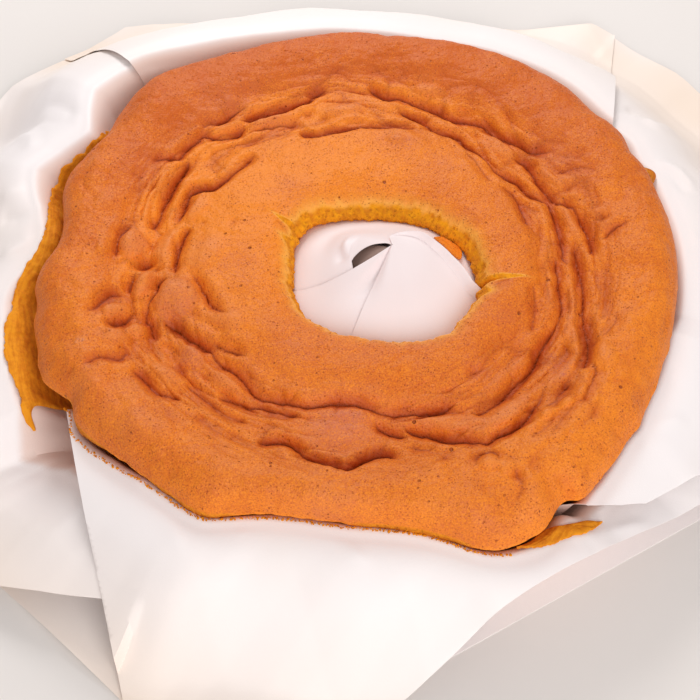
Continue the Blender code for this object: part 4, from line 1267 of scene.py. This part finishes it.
# The crumb that clings: how streaks stretch along it and across, their scale and detail, its grain,
# how far streaks and grain colour it, how much painted shade under the crust's overhang it loses for
# each millimetre out from the crust, and where its colour starts.
STREAK_STRETCH, STREAKS = (0.0003, 0.002), (300.0, 3.0)
CLING_GRAIN = (420, 3, 0.6, 7)
STREAKS_IN, STREAKS_BROWN, GRAIN_IN, GRAIN_BROWN = (0.35, 0.65), 0.5, (0.35, 0.7), 0.4
PAINTED_SHADE_FADE, CLING_BASE = 0.03, 0.1
# The paper: its patterns, how far from the middle, in metres, it turns creamy, in which clouds, and
# how strongly it is creamy elsewhere and tinted where the cake touched it, by its stain together with
# painted shade and painted reflection of the cake.
FIBRES, CLOUD = (1500, 2, 0.5, 0), (9, 2, 0.5, 4)
GREASED, GREASED_IN = (0.16, 0.24), (0.25, 0.6)
CREAMY_IN, CREAMY_SHOWS = (0.35, 0.8), 0.3
STAIN_AND_SHADE_CLOUDS, STAIN_AND_SHADE_SHOWS = 0.6, 0.5
# The studio: the floor's half side and colour, the light of the world, and the lamps as (name,
# place in metres, size, power).
FLOOR_HALF, FLOOR_COLOUR = 2500, (0.84, 0.80, 0.77, 1)
WORLD_COLOUR, WORLD_STRENGTH = (1.0, 0.94, 0.92, 1), 0.46
LAMPS = (("key", (-0.08, 0.72, 0.6), 0.34, 4.1), ("fill", (0.3, -1.0, 0.72), 0.9, 8.8))


def swing(pattern):
    """A pattern that goes below and above zero."""
    return pattern - 0.5


def cake_finish():
    make = Finish("baked_sponge")
    crust, line, deep, proud, tone, brown, flour, pale, low = (make.marked(key) for key in (
        "crust", "line", "deep", "proud", "tone", "brown", "flour", "pale", "low"))
    shades = [make.noise(*layer) for layer in (MOTTLE, PATCHES, BLOTCHES, GRAIN, STIPPLE)]
    _, patches, _, grain, stipple = shades
    pores = [make.holes(*layer) for layer in PORES]
    pores[-1] = pores[-1] * patches.step(*FINE_PORES_IN) * FINE_PORES_SHOW
    shade = tone
    for pattern, darkens in zip(shades, DARKENS):
        shade = shade + swing(pattern) * darkens
    # A painted sheen: pink on raised parts and in patches.
    painted_sheen = patches.step(*PINK_IN) * PINK_PATCHES + proud * (patches + PINK_PROUD)
    specks = swing(grain) * BROWN_SPECKS + swing(stipple) * BROWN_SPECKS
    surface = make.mix(shade.clear(), GOLD, TAN)
    for share, over in (
        (painted_sheen.clear() * PINK_SHOWS, PAINTED_SHEEN_PINK),
        ((brown * (patches + specks)).clear(), SPOT_BROWN),
        # Painted shade and reflection in the hollows, and painted dark lines along the creases.
        (deep * RED_SHOWS, CREASE_SHADE_RED),
        (line * LINE_SHOWS, CREASE_SHADE_BROWN),
        ((pale * (PALE_SHOWS + patches)).clear(), PALE_GOLD),
        (weighed(pores, PORES_BROWN).clear(), PORE_BROWN),
        (flour * patches.step(*FLOUR_IN) * grain.step(*FLOUR_GRAINS), FLOUR),
    ):
        surface = make.mix(share, surface, over)
    cells = make.holes(*CELLS)
    crumb = make.mix(make.noise(*CRUMB_CLOUD).step(*CRUMB_CLOUD_IN), CRUMB_GOLD, CRUMB_BROWN)
    crumb = make.mix((cells * CELLS_BROWN + low * (LOW_BROWN + grain)).clear(), crumb, CRUMB_LOW)
    hollows = crust * weighed(pores, PORES_DEEP) + (1 - crust) * cells * CELLS_DEEP
    height = swing(make.noise(*PEEL)) * PEEL_HIGH + swing(grain) * GRAIN_HIGH - hollows
    return make.wears(
        Base_Color=make.mix(crust, crumb, surface), Roughness=CRUMB_MATT - CRUST_SMOOTHER * crust,
        Normal=make.bump(height, CAKE_RELIEF), Specular_IOR_Level=SHEEN,
    )


def weighed(values, weights):
    """The sum of the values, each times its weight."""
    total = values[0] * weights[0]
    for value, weight in zip(values[1:], weights[1:]):
        total = total + value * weight
    return total


def cling_finish():
    """Crumb torn off in a sheet, streaked along its length."""
    make = Finish("clinging_crumb")
    around, out = make.marked("around"), make.marked("out")
    along, across = STREAK_STRETCH
    place = make.node("ShaderNodeCombineXYZ", {}, around * along, out * across, 0.0)
    scale, detail = STREAKS
    streaks = make.node("ShaderNodeTexNoise", {}, place, Scale=scale, Detail=detail, output="Fac")
    grain = make.noise(*CLING_GRAIN)
    shade = streaks.step(*STREAKS_IN) * STREAKS_BROWN + grain.step(*GRAIN_IN) * GRAIN_BROWN
    # Painted shade: the crumb is browner towards the crust, under its overhang.
    shade = (shade - out * PAINTED_SHADE_FADE + CLING_BASE).clear()
    return make.wears(
        Base_Color=make.mix(shade, CLING_GOLD, CLING_BROWN), Roughness=CRUMB_MATT,
        Normal=make.bump(grain, CLING_RELIEF), Specular_IOR_Level=SHEEN,
    )


def paper_finish(name, white, cream):
    make = Finish(name)
    cloud = make.noise(*CLOUD)
    away = make.node("ShaderNodeVectorMath", {"operation": "LENGTH"}, make.where(), output=1)
    greased = away.step(*GREASED) * cloud.step(*GREASED_IN) + cloud.step(*CREAMY_IN) * CREAMY_SHOWS
    sheet = make.mix(greased.clear(), white, cream)
    stain_and_shade = make.marked("stain_and_shade") * (cloud * STAIN_AND_SHADE_CLOUDS + STAIN_AND_SHADE_SHOWS)
    return make.wears(
        Base_Color=make.mix(stain_and_shade, sheet, PAPER_STAIN_AND_SHADE), Roughness=PAPER_MATT,
        Normal=make.bump(make.noise(*FIBRES), PAPER_RELIEF),
    )


def studio():
    """A pale floor, soft light from the back left and the front, and the seat."""
    edit = bmesh.new()
    bmesh.ops.create_grid(edit, x_segments=2, y_segments=2, size=FLOOR_HALF)
    mesh = mesh_of(edit, "floor")
    mesh.transform(Matrix.Scale(MM, 4))
    make = Finish("pale_floor")
    mesh.materials.append(make.wears(Base_Color=FLOOR_COLOUR, Roughness=FLOOR_MATT))
    floor = placed("floor", mesh)

    world = bpy.data.worlds.new("studio")
    world.use_nodes = True
    background = world.node_tree.nodes["Background"]
    background.inputs["Color"].default_value = WORLD_COLOUR
    background.inputs["Strength"].default_value = WORLD_STRENGTH
    bpy.context.scene.world = world
    for values in LAMPS:
        lamp(*values)
    bpy.context.scene.view_settings.view_transform = "Standard"

    camera = bpy.data.cameras.new("seat")
    camera.lens = LENS
    seat = placed("seat", camera)
    angle = np.radians(SEAT_ELEVATION)
    back = np.array([0, -np.cos(angle), np.sin(angle)])
    seat.location = (np.array(SEAT_AIM) + SEAT_DISTANCE * back) * MM
    seat.rotation_euler = (np.pi / 2 - angle, 0, 0)
    bpy.context.scene.camera = seat


def lamp(name, place, size, power):
    light = bpy.data.lights.new(name, "AREA")
    light.size, light.energy = size, power
    stand = placed(name, light)
    stand.location = place
    stand.rotation_euler = (-Vector(place)).to_track_quat("-Z", "Y").to_euler()


studio()
sponge = cake_finish()
clinging = cling_finish()
paper = paper_finish("baking_paper", PAPER_WHITE, PAPER_CREAM)
routes = [(depth, seen_route(numbers)) for depth, *numbers in CREASES]
for ring in CAKE_RINGS:
    cake_ring(ring, sponge, routes)
base_sheet(paper)
for sheet in SHEETS:
    lining(sheet, paper)
for piece in CLINGS:
    cling(piece, clinging)
loose_crumbs(sponge)
# The cone's paper, whose colours are painted shade and painted reflection of the cake.
shaded_cone_paper = paper_finish("cone_paper_painted_shade", CONE_PAPER_SHADED, CONE_PAPER_SHADED_PINK)
# Painted shade for the inside of the cone.
cone(sponge, shaded_cone_paper, paper_finish("painted_shade_in_slit", SLIT_SHADE, SLIT_SHADE))
